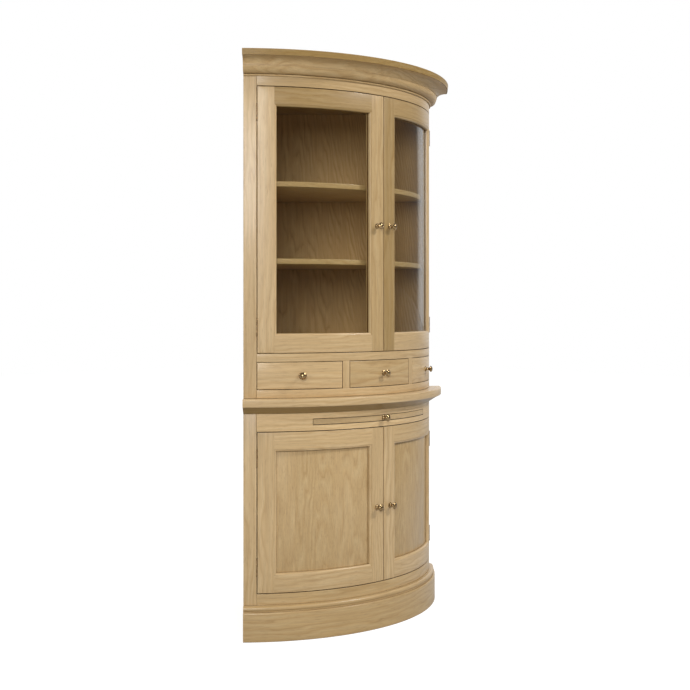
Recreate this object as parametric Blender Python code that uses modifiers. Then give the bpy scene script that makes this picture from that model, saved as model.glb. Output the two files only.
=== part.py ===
"""Bow-fronted corner dresser in oak: a panelled cupboard below and a glazed cupboard above.

The plan is a quarter circle about the corner of a room. Lengths are metres and +Z is up. Angles are
measured about the corner: 0 looks straight out into the room, along -Y, and positive is to the right.
"""
from math import asin, atan2, ceil, cos, floor, pi, radians, sin, sqrt, tan

import bmesh
import bpy
from mathutils import Matrix, Vector

# Plan
WALL_ANGLE = pi / 4  # each wall runs at this angle to the line straight out of the corner
FACE_RADIUS = 0.690  # face of the doors, drawers and rails, from the corner
FRAME_THICK = 0.022  # stiles, rails and door frames
STILE_WIDTH = 0.045  # carcass stiles, along the face
BACK_THICK = 0.012
FACET = radians(3.0)  # every curved face is cut into flats of this angle
FIT = 0.0003  # gap between pieces that touch

# Heights of the base, from the floor up
BASE_RAIL_LOW = 0.040
BASE_RAIL_TOP = 0.158
BASE_RAIL_THICK = 0.030
BASE_OPENING_HEIGHT = 0.552
BASE_TOP_RAIL_HEIGHT = 0.085
WAIST_THICK = 0.028

# Heights of the upper part, from the waist up
UPPER_BOTTOM_RAIL_HEIGHT = 0.029
DRAWER_OPENING_HEIGHT = 0.0955
UPPER_MID_RAIL_HEIGHT = 0.028
UPPER_OPENING_HEIGHT = 0.9125
FRIEZE_HEIGHT = 0.032

# Boards, housed in the back panels
BOARD_THICK = 0.018
HOUSING_DEPTH = 0.005
FLOOR_DROP = 0.001  # floors lie this far below the rail in front of them
ROOF_RISE = 0.008  # the roof's underside lies this far above the doors
SHELF_SETBACK = 0.010  # from the back of the face frame
BASE_SHELF_RISE = 0.285  # from the base's floor to the top of its shelf
LOWER_SHELF_RISE = 0.327  # from the upper cupboard's floor to the top of its lower shelf
UPPER_SHELF_RISE = 0.2655  # from shelf to shelf

# Plinth, from its face up
PLINTH_PROJECTION = 0.022
PLINTH_FACE_HEIGHT = 0.092
PLINTH_SLOPE_HEIGHT = 0.006
PLINTH_SLOPE_DEPTH = 0.003
PLINTH_QUIRK_DEPTH = 0.002
PLINTH_QUIRK_HEIGHT = 0.003
PLINTH_BEAD = 0.018
PLINTH_LEDGE = 0.001

# Waist board and the moulding under its nose
WAIST_PROJECTION = 0.046
WAIST_ARRIS = 0.004
WAIST_MOULDING_HEIGHT = 0.024
WAIST_MOULDING_FOOT = 0.002
WAIST_MOULDING_DEPTH = 0.040

# Cornice, from its bead up and out
BEAD_HEIGHT = 0.005
BEAD_FOOT = 0.003
OVOLO_DEPTH = 0.0225
OVOLO_HEIGHT = 0.0165
QUIRK_DEPTH = 0.0045
QUIRK_HEIGHT = 0.002
COVE_DEPTH = 0.034
COVE_HEIGHT = 0.0145
LIP_WIDTH = 0.005
FASCIA_LEAN = 0.005
FASCIA_HEIGHT = 0.042
FASCIA_ARRIS = 0.002
CORNICE_LID_THICK = 0.010
CORNICE_LID_DEPTH = 0.050  # how far the lid lies back over the carcass

# Doors
DOOR_GAP = 0.0025
DOOR_MEMBER = 0.066  # width of a door's stiles and rails
STICK_WIDTH = 0.008  # moulded edge round the opening
STICK_DEPTH = 0.007
PANE_SETBACK = 0.0125  # from the door's face to the pane's
GROOVE_DEPTH = 0.009
GLASS_THICK = 0.004
PANEL_THICK = 0.007
DOOR_KNOB_DROP = 0.010  # below the middle of the door

# Butt hinges
HINGE_LENGTH = 0.060
HINGE_INSET = 0.088  # from the door's end to the hinge's middle
HINGE_REACH = 0.018  # from the pin to the leaf's far edge
HINGE_PROUD = 0.0004  # the pin's axis stands this far in front of the face
LEAF_THICK = 0.001
KNUCKLE_RADIUS = 0.0022
KNUCKLE_SHOULDER = 0.00015  # how far a leaf's tab stops short of its knuckle's ends
PIN_RADIUS = 0.0011
PIN_PROUD = 0.001
NOTCH_CLEARANCE = 0.0004

# Drawers
MIDDLE_DRAWER_OPENING = 0.3165  # along the face
DIVIDER_WIDTH = 0.028
DRAWER_GAP = 0.0018
DRAWER_FRONT_THICK = 0.020
DRAWER_BOX_HEIGHT = 0.075
DRAWER_BACK = 0.385  # from the corner to the back of the box
DRAWER_CLEARANCE = 0.004  # between the box and the sides of its opening
DRAWER_WALL = 0.011
DRAWER_BOTTOM = 0.012
GUIDE_WIDTH = 0.0244
GUIDE_HEIGHT = 0.0055
GUIDE_CLEARANCE = 0.0003
GUIDE_HEADROOM = 0.001

# Pull-out slide
SLIDE_WIDTH = 0.580
SLIDE_THICK = 0.019
SLIDE_BACK = 0.340  # from the corner to the back of the board
SLIDE_HEIGHT = 0.0300  # from the bottom of its rail to the middle of the board
SLOT_CLEARANCE = 0.0018  # round the board in the rail
RUNNER_LAP = 0.008  # how far the runner's groove holds the board's edge
RUNNER_WALL = 0.0115
RUNNER_CHEEK = 0.011  # above and below the groove
RUNNER_TENON = 0.012  # let into the rail

# Turned knobs, from the base out
KNOB_LENGTH = 0.0273
KNOB_BASE_RADIUS = 0.0095
KNOB_NECK_RADIUS = 0.0044
KNOB_HEAD_RADIUS = 0.0126
KNOB_STEPS = 12

# Levels and radii that follow from the sizes above
BASE_DOOR_HIGH = BASE_RAIL_TOP + BASE_OPENING_HEIGHT
BASE_TOP = BASE_DOOR_HIGH + BASE_TOP_RAIL_HEIGHT
WAIST_TOP = BASE_TOP + WAIST_THICK
DRAWER_LOW = WAIST_TOP + UPPER_BOTTOM_RAIL_HEIGHT
DRAWER_HIGH = DRAWER_LOW + DRAWER_OPENING_HEIGHT
UPPER_DOOR_LOW = DRAWER_HIGH + UPPER_MID_RAIL_HEIGHT
UPPER_DOOR_HIGH = UPPER_DOOR_LOW + UPPER_OPENING_HEIGHT
CORNICE_LOW = UPPER_DOOR_HIGH + FRIEZE_HEIGHT
HEIGHT = CORNICE_LOW + BEAD_HEIGHT + OVOLO_HEIGHT + QUIRK_HEIGHT + COVE_HEIGHT + FASCIA_HEIGHT
CARCASS_TOP = HEIGHT - CORNICE_LID_THICK - FIT
BASE_FLOOR_TOP = BASE_RAIL_TOP - FLOOR_DROP
BASE_SHELF_TOP = BASE_FLOOR_TOP + BASE_SHELF_RISE
CUPBOARD_FLOOR_TOP = UPPER_DOOR_LOW - FLOOR_DROP
LOWER_SHELF_TOP = CUPBOARD_FLOOR_TOP + LOWER_SHELF_RISE
UPPER_SHELF_TOP = LOWER_SHELF_TOP + UPPER_SHELF_RISE
ROOF_TOP = UPPER_DOOR_HIGH + ROOF_RISE + BOARD_THICK
SLIDE_MIDDLE = BASE_DOOR_HIGH + SLIDE_HEIGHT
INNER_RADIUS = FACE_RADIUS - FRAME_THICK
BOARD_FRONT = INNER_RADIUS - FIT
SHELF_FRONT = INNER_RADIUS - SHELF_SETBACK
BOARD_INSET = BACK_THICK - HOUSING_DEPTH + FIT
CORNICE_PROJECTION = BEAD_FOOT + OVOLO_DEPTH + QUIRK_DEPTH + COVE_DEPTH + LIP_WIDTH + FASCIA_LEAN
CORNER = Vector((0.0, (FACE_RADIUS + CORNICE_PROJECTION) / 2, 0.0))  # centres the plan on the origin

# Angles that follow from the sizes above
FIT_ANGLE = FIT / FACE_RADIUS
OPENING_ANGLE = WALL_ANGLE - STILE_WIDTH / FACE_RADIUS
DOOR_GAP_ANGLE = DOOR_GAP / FACE_RADIUS
HINGE_ANGLE = OPENING_ANGLE - DOOR_GAP_ANGLE / 2
MIDDLE_DRAWER_ANGLE = MIDDLE_DRAWER_OPENING / 2 / FACE_RADIUS
SIDE_DRAWER_START = MIDDLE_DRAWER_ANGLE + DIVIDER_WIDTH / FACE_RADIUS

ARC_STEPS = 5  # flats in a quarter-round of a moulding
KNUCKLE_SIDES = 12
OVERCUT = 0.002  # how far a cutter runs past the face that it opens
MERGE = 0.00001
WELD = 0.00001
SMOOTH_ANGLE = radians(30.0)


def new_collection(name):
    """Collection of this name, linked to the scene."""
    made = bpy.data.collections.new(name)
    bpy.context.scene.collection.children.link(made)
    return made


def new_material(name, colour, roughness, metallic=0.0, transmission=0.0):
    """Principled material from a linear colour."""
    made = bpy.data.materials.new(name)
    made.use_nodes = True
    shader = made.node_tree.nodes["Principled BSDF"]
    shader.inputs["Base Color"].default_value = (*colour, 1.0)
    shader.inputs["Roughness"].default_value = roughness
    shader.inputs["Metallic"].default_value = metallic
    shader.inputs["Transmission Weight"].default_value = transmission
    made.diffuse_color = (*colour, 1.0)
    return made


for old in list(bpy.data.objects):
    bpy.data.objects.remove(old, do_unlink=True)
PARTS = new_collection("corner_dresser")
CUTTERS = new_collection("corner_dresser_cutters")
OAK = new_material("waxed_oak", (0.48, 0.33, 0.17), 0.45)
GLASS = new_material("clear_glass", (0.95, 0.97, 0.96), 0.03, transmission=1.0)
BRASS = new_material("antique_brass", (0.30, 0.20, 0.08), 0.35, metallic=1.0)


def facet_reach(angle):
    """Share of its radius at which a faceted curve lies in this direction."""
    middle = (floor(angle / FACET + 1e-6) + 0.5) * FACET
    return cos(FACET / 2) / cos(angle - middle)


def polar(radius, angle, z=0.0):
    """Point of a faceted curve about the corner."""
    reach = radius * facet_reach(angle)
    return Vector((reach * sin(angle), -reach * cos(angle), z))


def stations(start, end):
    """Angles from start to end, with the edges of the facets between them."""
    margin = FACET / 30
    edges = [step * FACET for step in range(floor(start / FACET), ceil(end / FACET) + 1)]
    return [start, *[edge for edge in edges if start + margin < edge < end - margin], end]


def arc(centre, across, up, start, end, steps=ARC_STEPS):
    """Points of an elliptical arc in a moulding's section, from one angle to another."""
    turns = [start + (end - start) * step / steps for step in range(steps + 1)]
    return [(centre[0] + across * cos(turn), centre[1] + up * sin(turn)) for turn in turns]


def push(mesh, face):
    """Extrude a face and give back the new end face."""
    made = bmesh.ops.extrude_face_region(mesh, geom=[face])["geom"]
    return next(item for item in made if isinstance(item, bmesh.types.BMFace))


def sweep(outline, start, end):
    """Solid swept about the corner from an outline of (radius, height) points."""
    mesh = bmesh.new()
    angles = stations(start, end)
    face = mesh.faces.new([mesh.verts.new(polar(radius, start, z)) for radius, z in outline])
    for before, after in zip(angles, angles[1:]):
        joined = face if before > start else None
        face = push(mesh, face)
        if joined is not None:
            mesh.faces.remove(joined)
        turn = Matrix.Rotation(after - before, 3, "Z")
        bmesh.ops.rotate(mesh, verts=face.verts, cent=(0.0, 0.0, 0.0), matrix=turn)
        stretch = facet_reach(after) / facet_reach(before)
        bmesh.ops.scale(mesh, verts=face.verts, vec=(stretch, stretch, 1.0))
    return mesh


def band(inner, outer, low, high, start, end):
    """Plain curved slab between two radii, two heights and two angles."""
    return sweep([(inner, low), (outer, low), (outer, high), (inner, high)], start, end)


def prism(points, low, high):
    """Upright solid on a plan of (x, y) points."""
    mesh = bmesh.new()
    face = mesh.faces.new([mesh.verts.new((x, y, low)) for x, y in points])
    top = push(mesh, face)
    bmesh.ops.translate(mesh, verts=top.verts, vec=(0.0, 0.0, high - low))
    return mesh


def block(across, out, level, angle=0.0):
    """Box between two distances across, two out from the corner and two levels, facing an angle."""
    mesh = bmesh.new()
    spans = (across, out, level)
    middle = [(low + high) / 2 for low, high in spans]
    sizes = [high - low for low, high in spans]
    place = Matrix.Translation((middle[0], -middle[1], middle[2])) @ Matrix.Diagonal((*sizes, 1.0))
    bmesh.ops.create_cube(mesh, size=1.0, matrix=Matrix.Rotation(angle, 4, "Z") @ place)
    return mesh


def mesh_data(name, mesh, material):
    """Finished mesh with its faces pointing out, shaded smooth across its small angles."""
    bmesh.ops.remove_doubles(mesh, verts=mesh.verts, dist=MERGE)
    bmesh.ops.recalc_face_normals(mesh, faces=mesh.faces)
    made = bpy.data.meshes.new(name)
    mesh.to_mesh(made)
    mesh.free()
    made.materials.append(material)
    made.shade_smooth()
    made.set_sharp_from_angle(angle=SMOOTH_ANGLE)
    return made


def place(name, data, carrier=None, location=CORNER, rotation=(0.0, 0.0, 0.0)):
    """Put a piece in the dresser, carried by a moving part's pivot where it has one."""
    made = bpy.data.objects.new(name, data)
    made.location = location
    made.rotation_euler = rotation
    PARTS.objects.link(made)
    if carrier is not None:
        made.parent = carrier
        made.matrix_parent_inverse = Matrix.Translation(carrier.location).inverted()
    return made


def piece(name, mesh, carrier=None, material=OAK):
    """Piece modelled about the corner."""
    return place(name, mesh_data(name, mesh, material), carrier)


def tool(name, mesh, location=CORNER, rotation=(0.0, 0.0, 0.0)):
    """Solid that cuts a piece, or is joined to it."""
    made = bpy.data.objects.new(name, mesh_data(name, mesh, OAK))
    made.location = location
    made.rotation_euler = rotation
    made.hide_render = True
    made.display_type = "WIRE"
    CUTTERS.objects.link(made)
    return made


def combine(target, operation, *tools):
    """Cut a piece with each tool in turn, or join each to it."""
    for other in tools:
        modifier = target.modifiers.new(f"{operation.lower()} {other.name}", "BOOLEAN")
        modifier.operation = operation
        modifier.solver = "EXACT"
        modifier.object = other
    return target


def weld_cuts():
    """Merge the points that cuts along the same facets leave next to each other."""
    for made in PARTS.objects:
        if any(modifier.type == "BOOLEAN" for modifier in made.modifiers):
            made.modifiers.new("weld", "WELD").merge_threshold = WELD


def pivot(name, location):
    """Empty on a moving part's joint axis."""
    made = bpy.data.objects.new(name, None)
    made.empty_display_size = 0.05
    made.location = location
    PARTS.objects.link(made)
    return made


def sector(front, low, high):
    """Quarter-round board whose straight edges lie in the back panels' housings."""
    end = WALL_ANGLE - asin(BOARD_INSET / front)
    apex = (0.0, -BOARD_INSET / sin(WALL_ANGLE))
    return prism([apex, *[polar(front, angle).xy for angle in stations(-end, end)]], low, high)


def back_panel(name, side, start, low, high, board_tops):
    """Back panel along one wall, -1 for the left and 1 for the right, with a housing for each board."""
    bottom = BACK_THICK - HOUSING_DEPTH
    outline = [(0.0, low), (BACK_THICK, low)]
    for top in sorted(board_tops):
        edges = (top - BOARD_THICK - FIT, top + FIT)
        outline += [(BACK_THICK, edges[0]), (bottom, edges[0]), (bottom, edges[1]), (BACK_THICK, edges[1])]
    outline += [(BACK_THICK, high), (0.0, high)]
    end = INNER_RADIUS - BACK_THICK * tan(FACET / 2) - FIT
    along = Vector((side * sin(WALL_ANGLE), -cos(WALL_ANGLE), 0.0))
    inward = Vector((-side * cos(WALL_ANGLE), -sin(WALL_ANGLE), 0.0))
    mesh = bmesh.new()
    points = [along * start + inward * depth + Vector((0.0, 0.0, z)) for depth, z in outline]
    face = mesh.faces.new([mesh.verts.new(point) for point in points])
    bmesh.ops.translate(mesh, verts=push(mesh, face).verts, vec=along * (end - start))
    return piece(name, mesh)


def back_panels(part, low, high, board_tops):
    """The left panel reaches the corner and the right one butts against it."""
    back_panel(f"{part}_left_back", -1, 0.0, low, high, board_tops)
    back_panel(f"{part}_right_back", 1, BACK_THICK + FIT, low, high, board_tops)


def hinge_heights(low, high):
    """Middles of a door's two hinges, by name, from the levels of its opening."""
    return {"top": high - DOOR_GAP - HINGE_INSET, "bottom": low + DOOR_GAP + HINGE_INSET}


def hinge_place(side, z):
    """Place and turn of a hinge whose pin stands in front of the gap beside a door."""
    axis = polar(FACE_RADIUS + HINGE_PROUD, side * HINGE_ANGLE, z) + CORNER
    turn = 0.0 if side < 0 else pi
    return axis, (0.0, turn, side * HINGE_ANGLE)


def hinge_recess(name, side, z):
    """Cutter for the mortise of both leaves, with a notch for the knuckles."""
    notch = KNUCKLE_RADIUS + NOTCH_CLEARANCE
    half = DOOR_GAP / 2 + LEAF_THICK + FIT
    deep = HINGE_REACH + FIT
    front = KNUCKLE_RADIUS + OVERCUT
    right = [(notch, -front), (notch, notch), (half, notch), (half, deep)]
    left = [(-x, y) for x, y in reversed(right)]
    rise = HINGE_LENGTH / 2 + PIN_PROUD + FIT
    axis, turn = hinge_place(side, z)
    return tool(name, prism(right + left, -rise, rise), axis, turn)


def leaf_plate(side, tabs):
    """Leaf beside the pin, with tabs that reach in to its knuckles."""
    half = HINGE_LENGTH / 2
    notch = KNUCKLE_RADIUS + NOTCH_CLEARANCE
    outline = [(HINGE_REACH, half), (HINGE_REACH, -half), (notch, -half)]
    for low, high in tabs:
        outline += [(notch, low), (0.0, low), (0.0, high), (notch, high)]
    outline += [(notch, half)]
    near = side * DOOR_GAP / 2
    mesh = bmesh.new()
    face = mesh.faces.new([mesh.verts.new((near, depth, z)) for depth, z in outline])
    bmesh.ops.translate(mesh, verts=push(mesh, face).verts, vec=(side * LEAF_THICK, 0.0, 0.0))
    return mesh


def barrel(name, radius, low, high):
    """Upright cylinder on the pin's axis."""
    mesh = bmesh.new()
    middle = Matrix.Translation((0.0, 0.0, (low + high) / 2))
    bmesh.ops.create_cone(mesh, cap_ends=True, segments=KNUCKLE_SIDES, radius1=radius, radius2=radius,
                          depth=high - low, matrix=middle)
    return tool(name, mesh, Vector())


def leaf_data(name, side, spans):
    """Mesh of one leaf: bored knuckles on the frame's side, a knuckle with the pin on the door's."""
    tabs = [(low + KNUCKLE_SHOULDER, high - KNUCKLE_SHOULDER) for low, high in spans]
    made = place(name, mesh_data(name, leaf_plate(side, tabs), BRASS), location=Vector())
    combine(made, "UNION", *[barrel(f"{name}_knuckle", KNUCKLE_RADIUS, *span) for span in spans])
    reach = HINGE_LENGTH / 2 + PIN_PROUD
    if side < 0:
        combine(made, "DIFFERENCE", barrel(f"{name}_bore", PIN_RADIUS + FIT, -2 * reach, 2 * reach))
    else:
        combine(made, "UNION", barrel(f"{name}_pin", PIN_RADIUS, -reach, reach))
    bpy.context.view_layer.update()
    data = bpy.data.meshes.new_from_object(made.evaluated_get(bpy.context.evaluated_depsgraph_get()))
    data.name = name
    bpy.data.objects.remove(made)
    return data


def leaf_meshes():
    """Frame leaf and door leaf, which all the hinges share."""
    half = HINGE_LENGTH / 2
    split = HINGE_LENGTH / 6
    ends = [(-half, -split - FIT / 2), (split + FIT / 2, half)]
    middle = [(-split + FIT / 2, split - FIT / 2)]
    return leaf_data("hinge_frame_leaf", -1, ends), leaf_data("hinge_door_leaf", 1, middle)


def knob_profile():
    """Half section of a turned mushroom knob, from the top of its head down to its base."""
    radius_of = {
        1.000: 0.0,
        0.967: 0.60 * KNOB_HEAD_RADIUS,
        0.880: 0.91 * KNOB_HEAD_RADIUS,
        0.790: KNOB_HEAD_RADIUS,
        0.730: 0.98 * KNOB_HEAD_RADIUS,
        0.640: 0.70 * KNOB_HEAD_RADIUS,
        0.530: 1.15 * KNOB_NECK_RADIUS,
        0.400: KNOB_NECK_RADIUS,
        0.220: 1.2 * KNOB_NECK_RADIUS,
        0.117: 0.9 * KNOB_BASE_RADIUS,
        0.073: KNOB_BASE_RADIUS,
        0.000: KNOB_BASE_RADIUS,
    }
    points = [(radius, 0.0, share * KNOB_LENGTH) for share, radius in radius_of.items()]
    points.append((0.0, 0.0, 0.0))
    data = bpy.data.meshes.new("turned_knob")
    data.from_pydata(points, [(index, index + 1) for index in range(len(points) - 1)], [])
    data.materials.append(BRASS)
    return data


def knob(name, angle, z, carrier, out=FACE_RADIUS):
    """Knob on a face at this angle, turned from the shared section."""
    seat = Vector((sin(angle) * (out + FIT), -cos(angle) * (out + FIT), z))
    made = place(name, KNOB_PROFILE, carrier, seat + CORNER, (pi / 2, 0.0, angle))
    turned = made.modifiers.new("turned", "SCREW")
    turned.steps = KNOB_STEPS
    turned.render_steps = KNOB_STEPS
    turned.use_merge_vertices = True
    turned.merge_threshold = MERGE
    return made


def base_plinth():
    """Skirting in front of the base, with an eased edge, a quirk and a bead on top."""
    back = FACE_RADIUS + FIT
    face = FACE_RADIUS + PLINTH_PROJECTION
    shoulder = face - PLINTH_SLOPE_DEPTH
    slope_top = PLINTH_FACE_HEIGHT + PLINTH_SLOPE_HEIGHT
    quirk = shoulder - PLINTH_QUIRK_DEPTH
    bead_low = slope_top + PLINTH_QUIRK_HEIGHT
    radius = PLINTH_BEAD / 2
    bead_middle = quirk - radius
    bead = arc((bead_middle, bead_low + radius), radius, radius, -pi / 2, pi / 2, 2 * ARC_STEPS)
    outline = [(back, 0.0), (face, 0.0), (face, PLINTH_FACE_HEIGHT)]
    outline += [(shoulder, slope_top), (bead_middle, slope_top), *bead]
    top = bead_low + PLINTH_BEAD + PLINTH_LEDGE
    outline += [(bead_middle, top), (back, top)]
    return piece("base_plinth", sweep(outline, -WALL_ANGLE, WALL_ANGLE))


def stile(name, side, low, high):
    """Carcass stile at one wall, mortised for the hinges of the door beside it."""
    ends = sorted((side * OPENING_ANGLE, side * WALL_ANGLE))
    return piece(name, band(INNER_RADIUS, FACE_RADIUS, low, high, *ends))


def rail(name, low, high):
    """Curved rail between the stiles."""
    end = OPENING_ANGLE - FIT_ANGLE
    return piece(name, band(INNER_RADIUS, FACE_RADIUS, low, high, -end, end))


def base_top_rail():
    """Rail slotted for the slide, with a grooved runner let into it at each end of the slot."""
    made = rail("base_top_rail", BASE_DOOR_HIGH, BASE_TOP - FIT)
    half = SLIDE_WIDTH / 2
    inner = half - RUNNER_LAP
    outer = half + RUNNER_WALL
    groove = (SLIDE_MIDDLE - SLIDE_THICK / 2 - FIT, SLIDE_MIDDLE + SLIDE_THICK / 2 + FIT)
    cheeks = (groove[0] - RUNNER_CHEEK, groove[1] + RUNNER_CHEEK)
    back = outer + (BACK_THICK + FIT) / sin(WALL_ANGLE)
    front = sqrt(INNER_RADIUS**2 - inner**2) + RUNNER_TENON / 2
    for name, side in (("left", -1), ("right", 1)):
        across = sorted((side * inner, side * outer))
        combine(made, "UNION", tool(f"{name}_slide_runner", block(across, (back, front), cheeks)))
    slot_half = half + SLOT_CLEARANCE
    slot_rise = SLIDE_THICK / 2 + SLOT_CLEARANCE
    slot_back = sqrt(INNER_RADIUS**2 - slot_half**2) - OVERCUT
    slot = block((-slot_half, slot_half), (slot_back, FACE_RADIUS + OVERCUT),
                 (SLIDE_MIDDLE - slot_rise, SLIDE_MIDDLE + slot_rise))
    run = half + FIT
    grooves = block((-run, run), (0.0, FACE_RADIUS + OVERCUT), groove)
    combine(made, "DIFFERENCE", tool("slide_groove", grooves), tool("slide_slot", slot))
    return made


def base_floor():
    """Floor of the base with the bottom rail that carries it."""
    made = piece("base_floor", sector(BOARD_FRONT, BASE_FLOOR_TOP - BOARD_THICK, BASE_FLOOR_TOP))
    end = OPENING_ANGLE - FIT_ANGLE
    front = band(FACE_RADIUS - BASE_RAIL_THICK, FACE_RADIUS, BASE_RAIL_LOW, BASE_RAIL_TOP, -end, end)
    return combine(made, "UNION", tool("base_bottom_rail", front))


def waist_board():
    """Board between the two parts, with a rounded nose and a sloped moulding under it."""
    nose = FACE_RADIUS + WAIST_PROJECTION
    arris = WAIST_ARRIS
    low = BASE_TOP
    foot = low - WAIST_MOULDING_HEIGHT
    outline = [(0.0, low), (FACE_RADIUS + FIT, low), (FACE_RADIUS + FIT, foot)]
    outline += [(FACE_RADIUS + WAIST_MOULDING_FOOT, foot), (FACE_RADIUS + WAIST_MOULDING_DEPTH, low)]
    outline += arc((nose - arris, low + arris), arris, arris, -pi / 2, 0.0, 2)
    outline += arc((nose - arris, WAIST_TOP - arris), arris, arris, 0.0, pi / 2, 2)
    outline += [(0.0, WAIST_TOP)]
    return piece("waist_board", sweep(outline, -WALL_ANGLE, WALL_ANGLE))


def cornice():
    """Crown: bead, ovolo, quirk, cove, lip and leaning fascia, with a lid over the carcass."""
    back = FACE_RADIUS + FIT
    foot = FACE_RADIUS + BEAD_FOOT
    bead_top = CORNICE_LOW + BEAD_HEIGHT
    ovolo_top = bead_top + OVOLO_HEIGHT
    cove_low = ovolo_top + QUIRK_HEIGHT
    cove_top = cove_low + COVE_HEIGHT
    quirk = foot + OVOLO_DEPTH + QUIRK_DEPTH
    lip = quirk + COVE_DEPTH + LIP_WIDTH
    face = FACE_RADIUS + CORNICE_PROJECTION
    outline = [(back, CORNICE_LOW)]
    outline += arc((foot, CORNICE_LOW + BEAD_HEIGHT / 2), BEAD_FOOT, BEAD_HEIGHT / 2, -pi / 2, pi / 2, 4)
    outline += arc((foot, ovolo_top), OVOLO_DEPTH, OVOLO_HEIGHT, -pi / 2 + pi / 12, 0.0)
    outline += [(quirk, ovolo_top)]
    outline += arc((quirk + COVE_DEPTH, cove_low), COVE_DEPTH, COVE_HEIGHT, pi, pi / 2)
    outline += [(lip, cove_top), (face, HEIGHT - FASCIA_ARRIS), (face - FASCIA_ARRIS, HEIGHT)]
    lid = FACE_RADIUS - CORNICE_LID_DEPTH
    outline += [(lid, HEIGHT), (lid, CARCASS_TOP + FIT), (back, CARCASS_TOP + FIT)]
    return piece("cornice", sweep(outline, -WALL_ANGLE, WALL_ANGLE))


def drawer_rail_frame():
    """Rails above and below the drawers, with the two dividers between them."""
    made = rail("drawer_rail_frame", WAIST_TOP + FIT, UPPER_DOOR_LOW)
    spans = {
        "left": (-WALL_ANGLE, -SIDE_DRAWER_START),
        "middle": (-MIDDLE_DRAWER_ANGLE, MIDDLE_DRAWER_ANGLE),
        "right": (SIDE_DRAWER_START, WALL_ANGLE),
    }
    for name, span in spans.items():
        opening = band(INNER_RADIUS - OVERCUT, FACE_RADIUS + OVERCUT, DRAWER_LOW, DRAWER_HIGH, *span)
        combine(made, "DIFFERENCE", tool(f"{name}_drawer_opening", opening))
    return made


def drawer_plan(middle, half, inset, front, back):
    """Plan of a drawer's box: a bowed front, sides along the opening's sides and a straight back."""
    ends = [middle - half + asin(inset / front), middle + half - asin(inset / front)]
    points = [polar(front, angle).xy for angle in stations(*ends)]
    out = Vector((sin(middle), -cos(middle)))
    across = Vector((cos(middle), sin(middle)))
    reach = back * tan(half) - inset / cos(half)
    return [*points, out * back + across * reach, out * back - across * reach]


def drawer(name, middle, half, rib):
    """Bowed front, tapered box with a groove under it for the guide rib, and a knob."""
    carrier = pivot(f"{name}_pivot", polar(FACE_RADIUS, middle, (DRAWER_LOW + DRAWER_HIGH) / 2) + CORNER)
    gap = DRAWER_GAP / FACE_RADIUS
    back = FACE_RADIUS - DRAWER_FRONT_THICK
    piece(f"{name}_front", band(back, FACE_RADIUS, DRAWER_LOW + DRAWER_GAP, DRAWER_HIGH - DRAWER_GAP,
                                middle - half + gap, middle + half - gap), carrier)
    low = DRAWER_LOW + FIT
    plan = drawer_plan(middle, half, DRAWER_CLEARANCE, back - FIT, DRAWER_BACK)
    box = piece(f"{name}_box", prism(plan, low, low + DRAWER_BOX_HEIGHT), carrier)
    inset = DRAWER_CLEARANCE + DRAWER_WALL
    inner = drawer_plan(middle, half, inset, back + OVERCUT, DRAWER_BACK + DRAWER_WALL)
    pocket = prism(inner, low + DRAWER_BOTTOM, low + DRAWER_BOX_HEIGHT + OVERCUT)
    side = GUIDE_WIDTH / 2 + GUIDE_CLEARANCE
    groove_top = DRAWER_LOW + GUIDE_HEIGHT + GUIDE_HEADROOM
    groove = block((-side, side), (0.0, FACE_RADIUS), (low - OVERCUT, groove_top), middle)
    combine(box, "DIFFERENCE", tool(f"{name}_pocket", pocket), tool(f"{name}_groove", groove))
    knob(f"{name}_knob", middle, (DRAWER_LOW + DRAWER_HIGH) / 2, carrier)
    guide = block((-GUIDE_WIDTH / 2, GUIDE_WIDTH / 2), (DRAWER_BACK, BOARD_FRONT - SHELF_SETBACK),
                  (DRAWER_LOW - BOARD_THICK / 2, DRAWER_LOW + GUIDE_HEIGHT), middle)
    combine(rib, "UNION", tool(f"{name}_guide", guide))


def opening_cutter(name, start, end, low, high):
    """Cutter for a door's opening, flared at the front for the moulded edge all round it."""
    back = INNER_RADIUS - OVERCUT
    sight = FACE_RADIUS - STICK_DEPTH
    front = FACE_RADIUS + OVERCUT
    flare = STICK_WIDTH * (STICK_DEPTH + OVERCUT) / STICK_DEPTH
    outline = [(back, low), (sight, low), (front, low - flare)]
    outline += [(front, high + flare), (sight, high), (back, high)]
    mesh = sweep(outline, start, end)
    for edge, turn in ((start, -flare / FACE_RADIUS), (end, flare / FACE_RADIUS)):
        section = [v for v in mesh.verts if abs(atan2(v.co.x, -v.co.y) - edge) < FACET / 1000]
        rim = [v for v in section if v.co.z < low - flare / 2 or v.co.z > high + flare / 2]
        throat = [v for v in section if v not in rim and v.co.xy.length > (back + sight) / 2]
        bmesh.ops.connect_verts(mesh, verts=throat)
        bmesh.ops.rotate(mesh, verts=rim, cent=(0.0, 0.0, 0.0), matrix=Matrix.Rotation(turn, 3, "Z"))
    return tool(name, mesh)


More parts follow.
